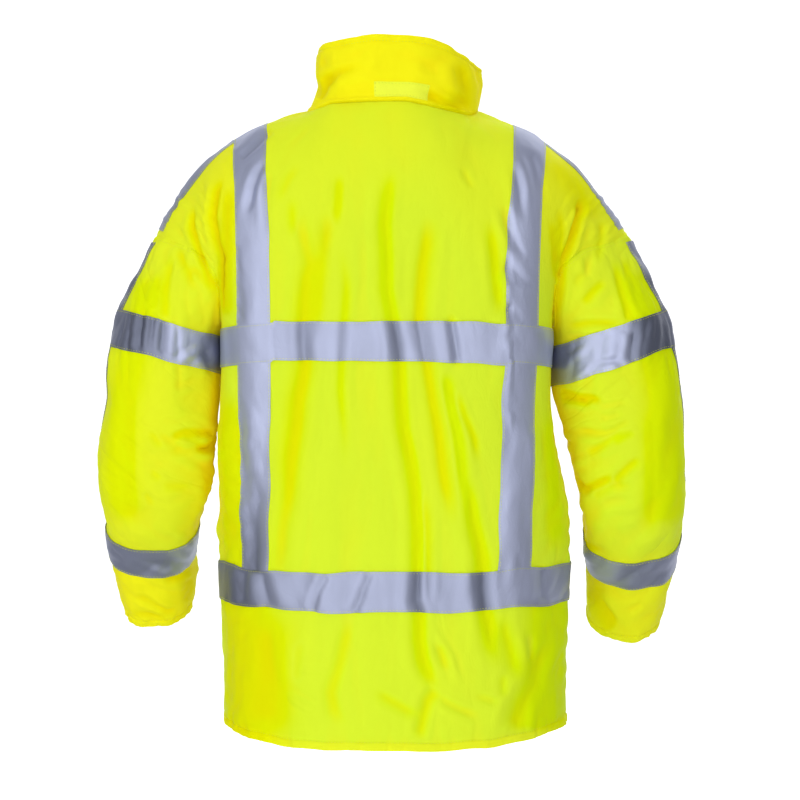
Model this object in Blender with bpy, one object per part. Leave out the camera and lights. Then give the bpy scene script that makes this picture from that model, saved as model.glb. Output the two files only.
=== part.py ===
# Hi-vis work jacket, filled out as if worn, with an empty inside.
# Metres, +Z up. The back of the jacket faces +Y, the wearer's left is +X.
# The origin is the middle of the neck, level with the collar seam at the back.
#
# Every cloth piece is a grid of points that runs along its seams, so neighbours share their
# seam points and the tapes share the points of the panel that carries them. A wall is that
# grid and a second one inside it, joined round the edges.

import math

import bpy
import numpy as np
from mathutils import Matrix

# Driving dimensions
WALL = 0.003  # padded shell cloth
COLLAR_WALL = 0.005  # the collar has two padded layers
TAPE_WIDTH = 0.050
TAPE_THICKNESS = 0.0008
TAPE_LIFT = 0.0003  # clearance between a tape and its panel
STRIP_LIFT = 0.0008  # the same where the panel bends over the shoulder tip
SEAM_GAP = 0.0006  # clearance between two pieces sewn together
CHAIN_WIDTH = 0.006  # closed zip chain
ZIP_TAPE_WIDTH = 0.024
ZIP_TAPE_THICKNESS = 0.001
ZIP_TAPE_CLEARANCE = 0.0022
FRONT_EDGE_X = 0.004  # from the middle of the zip to the edge of each front
CLOTH_CLEARANCE = 0.0032  # between the body and the sleeve pressed on its side
STRIP_BEHIND = 0.037  # how far the shoulder strip reaches behind the shoulder seam
STRIP_AHEAD = TAPE_WIDTH - STRIP_BEHIND
STRIP_END = 0.003  # how far the shoulder and sleeve strips stop short of the armhole seam
ZIP_ENDS = (0.012, 0.004)  # bare front edge below and above the chain

# Level sections of the body, bottom to top. left and right are half widths, back and front are
# depths, full is the exponent of the rounded outline: 2 is an ellipse, 4 is nearly a box.
BODY_COLUMNS = "back_z side_z front_z left right back front full".split()
BODY_SECTIONS = {
    "hem": (-0.8200, -0.8000, -0.8060, 0.2200, 0.2275, 0.160, 0.154, 2.3),
    "skirt": (-0.7200, -0.7100, -0.7150, 0.2212, 0.2300, 0.162, 0.156, 2.3),
    "band low edge": (-0.6450, -0.6400, -0.6440, 0.2214, 0.2300, 0.163, 0.158, 2.4),
    "band high edge": (-0.5950, -0.5900, -0.5940, 0.2216, 0.2300, 0.163, 0.158, 2.5),
    "waist": (-0.5300, -0.5280, -0.5300, 0.2245, 0.2295, 0.162, 0.158, 2.7),
    "ribs": (-0.4500, -0.4520, -0.4520, 0.2285, 0.2180, 0.161, 0.160, 3.1),
    "under the chest": (-0.3850, -0.3900, -0.3890, 0.2255, 0.2075, 0.162, 0.164, 3.5),
    "chest low edge": (-0.3315, -0.3385, -0.3370, 0.2228, 0.2068, 0.164, 0.167, 3.8),
    "chest high edge": (-0.2815, -0.2890, -0.2870, 0.2223, 0.2080, 0.165, 0.168, 3.9),
    "underarm": (-0.2750, -0.2825, -0.2805, 0.2223, 0.2080, 0.165, 0.168, 3.9),
}
# Rows of points between each section and the next one in this list.
BODY_STEPS = {
    "hem": ("band low edge", 3),
    "band low edge": ("band high edge", 1),
    "band high edge": ("chest low edge", 5),
    "chest low edge": ("chest high edge", 1),
    "chest high edge": ("underarm", 1),
}

# The middle of the vertical tapes: distance from the middle of the body at each height.
STRAP_COLUMNS = "z left right".split()
STRAP_PLACES = (
    (-0.820, 0.1745, 0.1535),
    (-0.620, 0.1745, 0.1535),
    (-0.450, 0.1750, 0.1590),
    (-0.275, 0.1765, 0.1660),
)

# Shoulder seams: neck point, tip of the dropped shoulder, and the two handles of the curve
# between them, all in the plane y = 0, and the middle of the vertical tape on the seam.
SHOULDERS = {
    "left": {
        "neck": (0.1135, 0.003),
        "near": (0.196, -0.018),
        "far": (0.262, -0.060),
        "tip": (0.3155, -0.161),
        "strap": 0.187,
    },
    "right": {
        "neck": (0.1120, 0.003),
        "near": (0.182, -0.020),
        "far": (0.254, -0.064),
        "tip": (0.3090, -0.163),
        "strap": 0.181,
    },
}
NECK_BACK = (0.090, 0.0)  # y and z of the collar seam in the middle of the back
NECK_FRONT = (-0.100, -0.035)
# Where the columns of points cross the collar seam, as parts of its length from the middle.
NECK_STOPS = {
    "left": (0.0, 0.14, 0.40, 0.70, 1.0),
    "right": (0.0, 0.28, 0.52, 0.76, 1.0),
}

# Above the underarm each column of points is a curve with two handles. They are given by how
# far round the body the column stands: 0 is the middle, 1 the armhole. up_ leaves the underarm
# section, over_ comes from the shoulder or collar seam. out is away from the middle. back is
# to the rear on the back panel and to the front on the fronts, from the underarm section for
# up_ and from the plane of the shoulder seams for over_.
HANDLE_COLUMNS = "place up_out up_back up_z over_out over_back over_z".split()
BACK_HANDLES = (
    (0.00, 0.000, 0.004, 0.120, 0.000, 0.150, -0.050),
    (0.28, 0.000, 0.004, 0.120, 0.000, 0.140, -0.024),
    (0.45, 0.000, 0.004, 0.115, 0.000, 0.130, -0.012),
    (0.60, 0.000, 0.006, 0.110, -0.006, 0.120, -0.012),
    (0.80, -0.004, 0.045, 0.060, -0.030, 0.112, -0.012),
    (1.00, -0.010, 0.100, -0.002, -0.0450, 0.100, -0.012),
)
FRONT_HANDLES = (
    (0.00, 0.000, 0.000, 0.110, 0.000, 0.150, -0.050),
    (0.28, 0.000, 0.000, 0.110, 0.000, 0.136, -0.024),
    (0.45, 0.000, 0.000, 0.110, 0.000, 0.125, -0.012),
    (0.60, 0.000, 0.004, 0.105, -0.006, 0.115, -0.012),
    (0.80, -0.004, 0.042, 0.060, -0.030, 0.106, -0.012),
    (1.00, -0.012, 0.095, -0.002, -0.0450, 0.095, -0.012),
)
# Edge of the armhole from the underarm to the shoulder tip: parts of the way out and up, and
# the distance from the plane of the shoulder seams.
ARMHOLE_COLUMNS = "out away up".split()
ARMHOLE = (
    (0.00, 0.000, 0.000),
    (-0.02, 0.045, 0.060),
    (-0.03, 0.077, 0.300),
    (0.08, 0.088, 0.580),
    (0.34, 0.077, 0.780),
    (0.68, 0.051, 0.900),
    (0.90, 0.026, 0.970),
    (1.00, 0.000, 1.000),
)
ARMHOLE_PULL = 0.55  # part of the way round the body where the armhole begins to shape it
UPPER_ROWS = 6  # from the underarm to the edge of the shoulder strip

# Sections of the sleeves, from the upper tape to the cuff. inner and outer are distances from
# the middle plane, mid_y and mid_z the middle of the section, deep its half depth. lean tips
# the section outwards and bend tips it forwards, in degrees. strip is how far the middle of
# the long tape stands behind the outermost line.
SLEEVE_COLUMNS = "mid_z inner outer mid_y deep lean bend strip".split()
SLEEVES = {
    "left": {
        "tape high edge": (-0.2790, 0.2250, 0.3582, 0.000, 0.0860, 15.0, 0.0, 0.020),
        "tape low edge": (-0.3280, 0.2255, 0.3690, 0.000, 0.0855, 14.0, 0.0, 0.016),
        "upper arm": (-0.3850, 0.2295, 0.3765, 0.001, 0.0830, 9.0, 3.0, -0.008),
        "above elbow": (-0.4400, 0.2360, 0.3865, 0.001, 0.0790, 4.0, 9.0, -0.026),
        "elbow": (-0.4860, 0.2405, 0.3885, -0.008, 0.0740, 0.0, 20.0, -0.030),
        "below elbow": (-0.5180, 0.2500, 0.3870, -0.022, 0.0670, 0.0, 30.0, -0.032),
        "low tape high edge": (-0.5420, 0.2575, 0.3845, -0.038, 0.0610, 0.0, 36.0, -0.033),
        "low tape low edge": (-0.5820, 0.2640, 0.3795, -0.068, 0.0570, 0.0, 37.0, -0.033),
        "forearm": (-0.6200, 0.2665, 0.3750, -0.097, 0.0530, 0.0, 38.0, -0.033),
        "cuff": (-0.6590, 0.2720, 0.3690, -0.127, 0.0500, 0.0, 38.0, -0.033),
    },
    "right": {
        "tape high edge": (-0.2830, 0.2110, 0.3560, 0.000, 0.0860, 15.0, 0.0, 0.020),
        "tape low edge": (-0.3320, 0.2100, 0.3690, 0.000, 0.0860, 14.0, 0.0, 0.016),
        "upper arm": (-0.3850, 0.2200, 0.3800, 0.001, 0.0840, 9.0, 3.0, -0.008),
        "above elbow": (-0.4400, 0.2350, 0.3850, 0.001, 0.0795, 4.0, 9.0, -0.026),
        "elbow": (-0.4920, 0.2420, 0.3875, -0.009, 0.0745, 0.0, 20.0, -0.030),
        "below elbow": (-0.5280, 0.2490, 0.3865, -0.024, 0.0675, 0.0, 30.0, -0.032),
        "low tape high edge": (-0.5570, 0.2545, 0.3850, -0.043, 0.0620, 0.0, 36.0, -0.033),
        "low tape low edge": (-0.5970, 0.2610, 0.3815, -0.073, 0.0580, 0.0, 37.0, -0.033),
        "forearm": (-0.6350, 0.2625, 0.3760, -0.102, 0.0535, 0.0, 38.0, -0.033),
        "cuff": (-0.6770, 0.2670, 0.3670, -0.135, 0.0505, 0.0, 38.0, -0.033),
    },
}
SLEEVE_STEPS = (3, 1, 2, 2, 1, 1, 1, 1, 1, 1)  # rows before each section in turn
SLEEVE_FULL = 2.2

# Top edge of the collar by the direction seen from above: 0 is the wearer's left, 90 the back.
COLLAR_COLUMNS = "angle x y z".split()
COLLAR_TOP = (
    (-90.0, 0.000, -0.106, 0.060),
    (-78.0, 0.022, -0.104, 0.061),
    (-45.0, 0.068, -0.080, 0.066),
    (0.0, 0.094, -0.004, 0.080),
    (45.0, 0.066, 0.066, 0.087),
    (90.0, -0.008, 0.092, 0.088),
    (135.0, -0.082, 0.064, 0.078),
    (180.0, -0.118, -0.004, 0.060),
    (225.0, -0.080, -0.080, 0.058),
    (258.0, -0.022, -0.104, 0.060),
    (270.0, 0.000, -0.106, 0.060),
)
COLLAR_STOPS = (0.0, 0.065, 0.30, 0.65, 1.0)  # rows: seam, welt edge, patch edge, middle, top
COLLAR_SWELL = 0.004
WELT_THICKNESS = 0.0016
PATCH_THICKNESS = 0.0014

# Main folds that show as form: start, end (distance out from the middle and height), half
# width and depth. They run down the rear of the back panel.
FOLD_COLUMNS = "x1 z1 x2 z2 reach deep".split()
BACK_FOLDS = (
    (0.108, -0.340, 0.132, -0.500, 0.030, 0.006),
    (0.132, -0.500, 0.150, -0.760, 0.030, 0.005),
    (-0.050, -0.350, -0.070, -0.500, 0.024, 0.004),
    (-0.105, -0.480, -0.140, -0.600, 0.026, 0.004),
    (0.218, -0.130, 0.214, -0.270, 0.022, 0.006),
    (-0.232, -0.130, -0.205, -0.270, 0.022, 0.006),
)

# Zip slider and its pull tab
SLIDER_DROP = 0.016  # from the top of the chain to the pin
SLIDER_GAP = 0.0009  # between the chain and the slider's block
SLIDER_BLOCK = (0.0100, 0.0036, 0.0140)  # across, thick, high
LUG_WIDTH = 0.0012
LUG_HEIGHT = 0.0050
LUG_GAP = 0.0003  # between each lug and the eye
LUG_AHEAD = 0.0012  # how far a lug reaches past the pin's middle
LUG_OVERLAP = 0.0008  # how far a lug runs into the block
PIN_RADIUS = 0.0008
EYE_HOLE_RADIUS = 0.0012
EYE_RADIUS = 0.0021
EYE_LENGTH = 0.0046
EYE_CLEARANCE = 0.0006  # from the slider's face to the eye
NECK_WIDTH = 0.0042  # the part of the pull between its eye and its plate
NECK_START = 0.0016  # from the pin's middle down to the top of the neck
NECK_END = 0.0096
PULL_WIDTH = 0.0080
PULL_THICKNESS = 0.0016
PLATE_THICKNESS = 0.0018
PLATE_START = 0.0080  # from the pin's middle down to the plate
PLATE_END = 0.0330
PLATE_ROUNDING = 0.0006
ROUND_SIDES = 16

YELLOW = ("fluorescent shell cloth", (0.62, 0.90, 0.0), 0.55, 0.0)
SILVER = ("reflective tape", (0.42, 0.44, 0.52), 0.40, 0.1)
LOOP = ("loop patch", (0.52, 0.74, 0.02), 0.90, 0.0)
ZIP_PLASTIC = ("zip plastic", (0.50, 0.62, 0.02), 0.45, 0.0)
METAL = ("slider metal", (0.35, 0.35, 0.36), 0.32, 1.0)

SIGN = {"left": 1.0, "right": -1.0}


def clear_scene():
    for item in list(bpy.data.objects):
        bpy.data.objects.remove(item, do_unlink=True)


def make_material(spec):
    name, colour, roughness, metallic = spec
    found = bpy.data.materials.get(name)
    if found:
        return found
    material = bpy.data.materials.new(name)
    material.use_nodes = True
    shader = material.node_tree.nodes["Principled BSDF"]
    shader.inputs["Base Color"].default_value = (*colour, 1.0)
    shader.inputs["Roughness"].default_value = roughness
    shader.inputs["Metallic"].default_value = metallic
    material.diffuse_color = (*colour, 1.0)
    return material


# ---- curves ----


def unit(vectors):
    length = np.linalg.norm(vectors, axis=-1, keepdims=True)
    return vectors / np.maximum(length, 1e-12)


def smooth(knots, values, at):
    """Cubic curve through values at rising knots, read at the places in at."""
    knots = np.asarray(knots, float)
    values = np.asarray(values, float)
    at = np.clip(np.atleast_1d(np.asarray(at, float)), knots[0], knots[-1])
    span = np.diff(knots)
    slope = np.diff(values, axis=0) / span.reshape((-1,) + (1,) * (values.ndim - 1))
    tangent = np.empty_like(values)
    tangent[0], tangent[-1] = slope[0], slope[-1]
    for k in range(1, len(knots) - 1):
        before, after = span[k - 1], span[k]
        tangent[k] = (slope[k - 1] * after + slope[k] * before) / (before + after)
    cell = np.clip(np.searchsorted(knots, at, side="right") - 1, 0, len(span) - 1)
    shape = (-1,) + (1,) * (values.ndim - 1)
    h = span[cell].reshape(shape)
    t = ((at - knots[cell]) / span[cell]).reshape(shape)
    return (
        (2 * t**3 - 3 * t**2 + 1) * values[cell]
        + (t**3 - 2 * t**2 + t) * h * tangent[cell]
        + (3 * t**2 - 2 * t**3) * values[cell + 1]
        + (t**3 - t**2) * h * tangent[cell + 1]
    )


def bezier(p0, p1, p2, p3, t):
    t = np.asarray(t, float).reshape(-1, 1)
    return (
        (1 - t) ** 3 * p0
        + 3 * (1 - t) ** 2 * t * p1
        + 3 * (1 - t) * t**2 * p2
        + t**3 * p3
    )


def lengths(path):
    """Distance along a path of points, from its start to each point."""
    steps = np.linalg.norm(np.diff(path, axis=0), axis=1)
    return np.concatenate([[0.0], np.cumsum(steps)])


def read_path(path, distances):
    run = lengths(path)
    return np.stack([np.interp(distances, run, path[:, k]) for k in range(3)], axis=1)


def spread(stops, counts):
    """Places between the stops, with the given number of even steps in each stretch."""
    places = [stops[0]]
    for start, end, count in zip(stops[:-1], stops[1:], counts):
        places += [start + (end - start) * (k + 1) / count for k in range(count)]
    return np.array(places)


# ---- body panels ----


def body_section(back_z):
    """The body's section at a height of the middle of the back, as a dictionary."""
    rows = np.array(list(BODY_SECTIONS.values()))
    return dict(zip(BODY_COLUMNS, smooth(rows[:, 0], rows, back_z)[0]))


def quarter_outline(section, side, face, count=240):
    """Dense outline of a quarter of a section, from its middle to the side seam."""
    wide, deep, power = section[side], section[face], section["full"]
    angle = np.linspace(0.0, math.pi / 2, count)
    reach = ((np.cos(angle) / deep) ** power + (np.sin(angle) / wide) ** power) ** (-1 / power)
    x = reach * np.sin(angle)
    y = reach * np.cos(angle) * (1.0 if face == "back" else -1.0)
    middle_z = section[f"{face}_z"]
    z = middle_z + (section["side_z"] - middle_z) * (x / wide) ** 4
    return np.stack([x, y, z], axis=1)


def column_stops(outline, side, strap_x):
    """Distances along an outline of its neck column, the two edges of the tape and its end."""
    run = lengths(outline)
    strap = np.interp(strap_x, outline[:, 0], run)
    return [0.0, 0.6 * strap, strap - TAPE_WIDTH / 2, strap + TAPE_WIDTH / 2, run[-1]]


COLUMN_STEPS = (4, 2, 1, 3)  # columns of points between those stops


def lower_row(back_z, side, face):
    section = body_section(back_z)
    outline = quarter_outline(section, side, face)
    places = np.array(STRAP_PLACES)
    strap_x = smooth(places[:, 0], places[:, STRAP_COLUMNS.index(side)], back_z)[0]
    stops = column_stops(outline, side, strap_x)
    if face == "front":
        stops[0] = np.interp(FRONT_EDGE_X, outline[:, 0], lengths(outline))
    neck = [stops[0] + (stops[1] - stops[0]) * part for part in NECK_STOPS[side]]
    places = np.concatenate([neck[:-1], spread(stops[1:], COLUMN_STEPS[1:])])
    return read_path(outline, places), places / lengths(outline)[-1]


def top_row(side, face):
    """Collar seam from the middle to the neck point, then the shoulder seam to its tip."""
    shoulder = SHOULDERS[side]
    neck_x, neck_z = shoulder["neck"]
    middle_y, middle_z = NECK_BACK if face == "back" else NECK_FRONT
    angle = np.linspace(0.0, math.pi / 2, 120)
    rise = (1 - np.cos(angle)) ** 1.5 if face == "front" else 1 - np.cos(angle)
    seam = np.stack(
        [
            neck_x * np.sin(angle),
            middle_y * np.cos(angle),
            middle_z + (neck_z - middle_z) * rise,
        ],
        axis=1,
    )
    run = lengths(seam)
    start = np.interp(FRONT_EDGE_X, seam[:, 0], run) if face == "front" else 0.0
    neck = read_path(seam, [start + (run[-1] - start) * part for part in NECK_STOPS[side]])
    handles = [shoulder[k] for k in ("neck", "near", "far", "tip")]
    corners = [np.array([x, 0.0, z]) for x, z in handles]
    curve = bezier(*corners, np.linspace(0.0, 1.0, 200))
    run = lengths(curve)
    strap = np.interp(shoulder["strap"], curve[:, 0], run)
    stops = [0.0, strap - TAPE_WIDTH / 2, strap + TAPE_WIDTH / 2, run[-1]]
    return np.concatenate([neck, read_path(curve, spread(stops, COLUMN_STEPS[1:]))[1:]])


def armhole_edge(side, face, underarm, counts):
    """Edge points of the armhole from the underarm to the shoulder tip."""
    tip_x, tip_z = SHOULDERS[side]["tip"]
    rear = 1.0 if face == "back" else -1.0
    edge = dict(zip(ARMHOLE_COLUMNS, np.array(ARMHOLE).T))
    points = np.stack(
        [
            underarm[0] + (tip_x - underarm[0]) * edge["out"],
            rear * edge["away"],
            underarm[2] + (tip_z - underarm[2]) * edge["up"],
        ],
        axis=1,
    )
    path = smooth(np.arange(len(points)), points, np.linspace(0, len(points) - 1, 200))
    run = lengths(path)[-1]
    strip = STRIP_BEHIND if face == "back" else STRIP_AHEAD
    return read_path(path, spread([0.0, run - strip, run], counts))


def upper_rows(side, face, bottom, parts):
    """Rows of points from the underarm section to the collar and shoulder seams."""
    table = np.array(BACK_HANDLES if face == "back" else FRONT_HANDLES)
    handles = dict(zip(HANDLE_COLUMNS, smooth(table[:, 0], table, parts).T))
    rear = 1.0 if face == "back" else -1.0
    top = top_row(side, face)
    strip = STRIP_BEHIND if face == "back" else STRIP_AHEAD
    counts = (UPPER_ROWS, 1)
    columns = []
    for k in range(len(bottom)):
        up = [handles["up_out"][k], rear * handles["up_back"][k], handles["up_z"][k]]
        over = top[k] + [handles["over_out"][k], 0.0, handles["over_z"][k]]
        over[1] = rear * handles["over_back"][k]
        path = bezier(bottom[k], bottom[k] + up, over, top[k], np.linspace(0.0, 1.0, 160))
        run = lengths(path)[-1]
        columns.append(read_path(path, spread([0.0, run - strip, run], counts)))
    grid = np.array(columns).transpose(1, 0, 2)
    edge = armhole_edge(side, face, bottom[-1], counts)
    pull = np.clip((parts - ARMHOLE_PULL) / (1 - ARMHOLE_PULL), 0.0, 1.0) ** 2
    return grid + pull[None, :, None] * (edge - grid[:, -1])[:, None]


def quarter_grid(side, face):
    """Points of a quarter of the body: rows from the hem up, columns from the middle out."""
    heights = [BODY_SECTIONS["hem"][0]]
    for name, (end, count) in BODY_STEPS.items():
        start_z, end_z = BODY_SECTIONS[name][0], BODY_SECTIONS[end][0]
        heights += [start_z + (end_z - start_z) * (k + 1) / count for k in range(count)]
    rows = []
    for back_z in heights:
        row, parts = lower_row(back_z, side, face)
        rows.append(row)
    upper = upper_rows(side, face, rows[-1], parts)
    grid = np.concatenate([np.array(rows), upper[1:]])
    grid[..., 0] *= SIGN[side]
    return grid


def row_of(name):
    """Index of the row of points at a named section."""
    row = 0
    for start, (end, count) in BODY_STEPS.items():
        if start == name:
            return row
        row += count
    return row


def press_folds(grid, normals):
    """Pushes the rear of the back panel in along its main folds."""
    pushed = grid.copy()
    for fold in BACK_FOLDS:
        f = dict(zip(FOLD_COLUMNS, fold))
        start, end = np.array([f["x1"], f["z1"]]), np.array([f["x2"], f["z2"]])
        flat = grid[..., (0, 2)]
        along = np.clip(((flat - start) @ (end - start)) / ((end - start) @ (end - start)), 0, 1)
        off = np.linalg.norm(flat - start - along[..., None] * (end - start), axis=-1)
        weight = np.clip(1 - (off / f["reach"]) ** 2, 0, 1) ** 2
        pushed -= normals * (f["deep"] * weight * (grid[..., 1] > 0.02))[..., None]
    return pushed


# ---- sleeves ----


def sleeve_ring(row, side):
    """Points round one section of a sleeve, from the inner line over the back."""
    s = dict(zip(SLEEVE_COLUMNS, row))
    lean, bend = math.radians(s["lean"]), math.radians(s["bend"])
    half = (s["outer"] - s["inner"]) / 2 / math.cos(lean)
    out = np.array([math.cos(lean), 0.0, math.sin(lean)])
    back = np.array([0.0, math.cos(bend), -math.sin(bend)])
    middle = np.array([(s["inner"] + s["outer"]) / 2, s["mid_y"], s["mid_z"]])
    angle = np.linspace(math.pi, -math.pi, 481)
    across, deep = np.abs(np.cos(angle)) / half, np.abs(np.sin(angle)) / s["deep"]
    reach = (across**SLEEVE_FULL + deep**SLEEVE_FULL) ** (-1 / SLEEVE_FULL)
    ring = middle + np.outer(reach * np.cos(angle), out) + np.outer(reach * np.sin(angle), back)
    ring = off_the_body(ring, side)
    run = lengths(ring)
    outermost = run[240]
    stops = [
        0.0,
        outermost - s["strip"] - TAPE_WIDTH / 2,
        outermost - s["strip"] - TAPE_WIDTH / 2 + STRIP_BEHIND,
        outermost - s["strip"] + TAPE_WIDTH / 2,
        run[-1],
    ]
    return read_path(ring, spread(stops, (UPPER_ROWS, 1, 1, UPPER_ROWS)))


def off_the_body(points, side):
    """Presses the inner side of the sleeve flat where it would enter the body."""
    clear = points.copy()
    for k, (x, y, z) in enumerate(points):
        section = body_section(z)
        face = "back" if y > 0 else "front"
        part = min(abs(y) / section[face], 1.0)
        body_x = section[side] * (1 - part ** section["full"]) ** (1 / section["full"])
        clear[k, 0] = max(x, body_x + CLOTH_CLEARANCE)
    return clear


def sleeve_grid(side, back_edge, front_edge):
    """Rows from the armhole to the cuff. The first row is the armhole edge of the body."""
    loop = np.concatenate([back_edge, front_edge[::-1][1:]])
    loop = loop * [SIGN[side], 1.0, 1.0]
    rings = [loop] + [sleeve_ring(row, side) for row in SLEEVES[side].values()]
    middles = np.array([ring[:-1].mean(axis=0) for ring in rings])
    knots = lengths(middles)
    places = spread(list(knots), SLEEVE_STEPS)
    grid = smooth(knots, np.array(rings), places)
    for row in range(1, len(grid)):
        grid[row] = off_the_body(grid[row], side)
    grid[..., 0] *= SIGN[side]
    return grid[:, :-1]


# ---- collar ----


def collar_grid(seam, angles):
    """Rows from the collar seam to the top edge, columns from the left front round the back."""
    table = np.array(COLLAR_TOP)
    key = COLLAR_COLUMNS.index("angle")
    top = smooth(table[:, key], table[:, key + 1 :], angles)
    top[0, 0], top[-1, 0] = FRONT_EDGE_X, -FRONT_EDGE_X
    away = np.stack([np.cos(np.radians(angles)), np.sin(np.radians(angles))], axis=1)
    rows = []
    for part in COLLAR_STOPS:
        row = seam * (1 - part) + top * part
        swell = COLLAR_SWELL * 4 * part * (1 - part)
        row[:, :2] += away * swell * (np.abs(seam[:, :1]) > FRONT_EDGE_X * 1.5)
        rows.append(row)
    return np.array(rows)


# ---- walls ----


def grid_normals(grid, closed=False):
    """Unit normal at each point, on the side that a turn from rows to columns gives."""
    down = np.gradient(grid, axis=0)
    if closed:
        wide = np.concatenate([grid[:, -1:], grid, grid[:, :1]], axis=1)
        across = (wide[:, 2:] - wide[:, :-2]) / 2
    else:
        across = np.gradient(grid, axis=1)
    return unit(np.cross(down, across))


class Seams:
    """Collects the pieces that meet at each seam point, so that their walls meet cleanly."""

    def __init__(self):
        self.points = {}

    def key(self, point):
        return tuple(np.round(point * 1e5).astype(int))

    def add(self, piece, edge, inside, normals):
        """An edge of a piece, the next points inside it, and its own normals there."""
        along = unit(np.gradient(edge, axis=0))
        for point, inner, normal, run in zip(edge, inside, normals, along):
            owners = self.points.setdefault(self.key(point), {})
            entry = owners.setdefault(piece, {"inward": np.zeros(3), "normal": normal, "run": run})
            entry["inward"] = entry["inward"] + unit(inner - point)

    def normal(self, point):
        """The shared normal: the mean of the pieces' normals, or where two pieces are folded
        face to face, the direction in which the fold opens."""
        owners = list(self.points[self.key(point)].values())
        shared = sum(entry["normal"] for entry in owners)
        for one in owners:
            for other in owners:
                if one is other:
                    continue
                opening = one["inward"] + other["inward"]
                opening = opening - one["run"] * (opening @ one["run"])
                facing = one["normal"] @ other["inward"]
                shared = shared + opening * math.copysign(0.5, facing)
        return unit(shared)

    def shift(self, piece, point):
        """Half a seam gap away from the other pieces, across the seam."""
        owners = self.points[self.key(point)]
        mine = owners[piece]["inward"]
        others = [entry["inward"] for name, entry in owners.items() if name != piece]
        if not others:
            return np.zeros(3)
        away = mine - sum(others) / len(others)
        normal = self.normal(point)
        away = away - normal * (away @ normal)
        return unit(away) * SEAM_GAP / 2 * (1.0 if len(others) == 1 else 1.5)


def border(rows, columns, closed):
    """Grid places round the edge of a piece."""
    top = [(0, c) for c in range(columns)]
    bottom = [(rows - 1, c) for c in range(columns)]
    if closed:
        return top + bottom
    left = [(r, 0) for r in range(1, rows - 1)]
    right = [(r, columns - 1) for r in range(1, rows - 1)]
    return top + bottom + left + right


def register(seams, piece, grid, normals, closed=False):
    seams.add(piece, grid[0], grid[1], normals[0])
    seams.add(piece, grid[-1], grid[-2], normals[-1])
    if not closed:
        seams.add(piece, grid[:, 0], grid[:, 1], normals[:, 0])
        seams.add(piece, grid[:, -1], grid[:, -2], normals[:, -1])


def settle(seams, piece, grid, normals, closed=False):
    """Moves the edges off the seams by half the gap and gives them the shared normals."""
    outer, facing = grid.copy(), normals.copy()
    for r, c in border(grid.shape[0], grid.shape[1], closed):
        facing[r, c] = seams.normal(grid[r, c])
        outer[r, c] = grid[r, c] + seams.shift(piece, grid[r, c])
    return outer, facing


def wall_mesh(outer, inner, closed=False):
    """Closed mesh of two grids of points joined round their edges."""
    rows, columns = outer.shape[:2]
    count = rows * columns
    verts = np.concatenate([outer.reshape(-1, 3), inner.reshape(-1, 3)])
    last = columns if closed else columns - 1
    faces = []
    for r in range(rows - 1):
        for c in range(last):
            a, b = r * columns + c, r * columns + (c + 1) % columns
            d, e = a + columns, b + columns
            faces += [(a, d, e, b), (a + count, b + count, e + count, d + count)]
    rim = [(0, c, 0, (c + 1) % columns) for c in range(last)]
    rim += [(rows - 1, (c + 1) % columns, rows - 1, c) for c in range(last)]
    if not closed:
        rim += [(r + 1, 0, r, 0) for r in range(rows - 1)]
        rim += [(r, columns - 1, r + 1, columns - 1) for r in range(rows - 1)]
    for r1, c1, r2, c2 in rim:
        a, b = r1 * columns + c1, r2 * columns + c2
        # The same diagonal on both sides of a seam, so that twisted edges still fit.
        if comes_first(verts[a], verts[b]):
            faces += [(a, b, b + count), (a, b + count, a + count)]
        else:
            faces += [(a, b, a + count), (b, b + count, a + count)]
    return verts, faces


def comes_first(p, q):
    apart = p - q
    return bool(apart[np.argmax(np.abs(apart))] > 0)


def add_object(name, verts, faces, material):
    mesh = bpy.data.meshes.new(name)
    mesh.from_pydata([tuple(v) for v in verts], [], faces)
    mesh.update()
    item = bpy.data.objects.new(name, mesh)
    bpy.context.collection.objects.link(item)
    return dress(item, material)


def add_wall(name, outer, facing, thickness, material, closed=False):
    """thickness is one number, or one for each row of points."""
    depth = np.broadcast_to(thickness, outer.shape[0])[:, None, None]
    verts, faces = wall_mesh(outer, outer - facing * depth, closed)
    return add_object(name, verts, faces, material)


def add_layer(
    name, grid, facing, thickness, material, trims=(0, 0, 0, 0), closed=False, lift=TAPE_LIFT
):
    """A layer on a block of a panel's points. trims are the distances by which it stops short
    of the first row, the last row, the first column and the last column."""
    grid = grid.copy()
    first, last, left, right = trims
    grid[0] += unit(grid[1] - grid[0]) * first
    grid[-1] += unit(grid[-2] - grid[-1]) * last
    grid[:, 0] += unit(grid[:, 1] - grid[:, 0]) * left
    grid[:, -1] += unit(grid[:, -2] - grid[:, -1]) * right
    outer = grid + facing * (lift + thickness)
    verts, faces = wall_mesh(outer, grid + facing * lift, closed)
    return add_object(name, verts, faces, material)


def add_tape(name, grid, facing, trims=(0, 0, 0, 0), closed=False, lift=TAPE_LIFT):
    return add_layer(name, grid, facing, TAPE_THICKNESS, SILVER, trims, closed, lift)


# ---- zip ----


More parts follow.
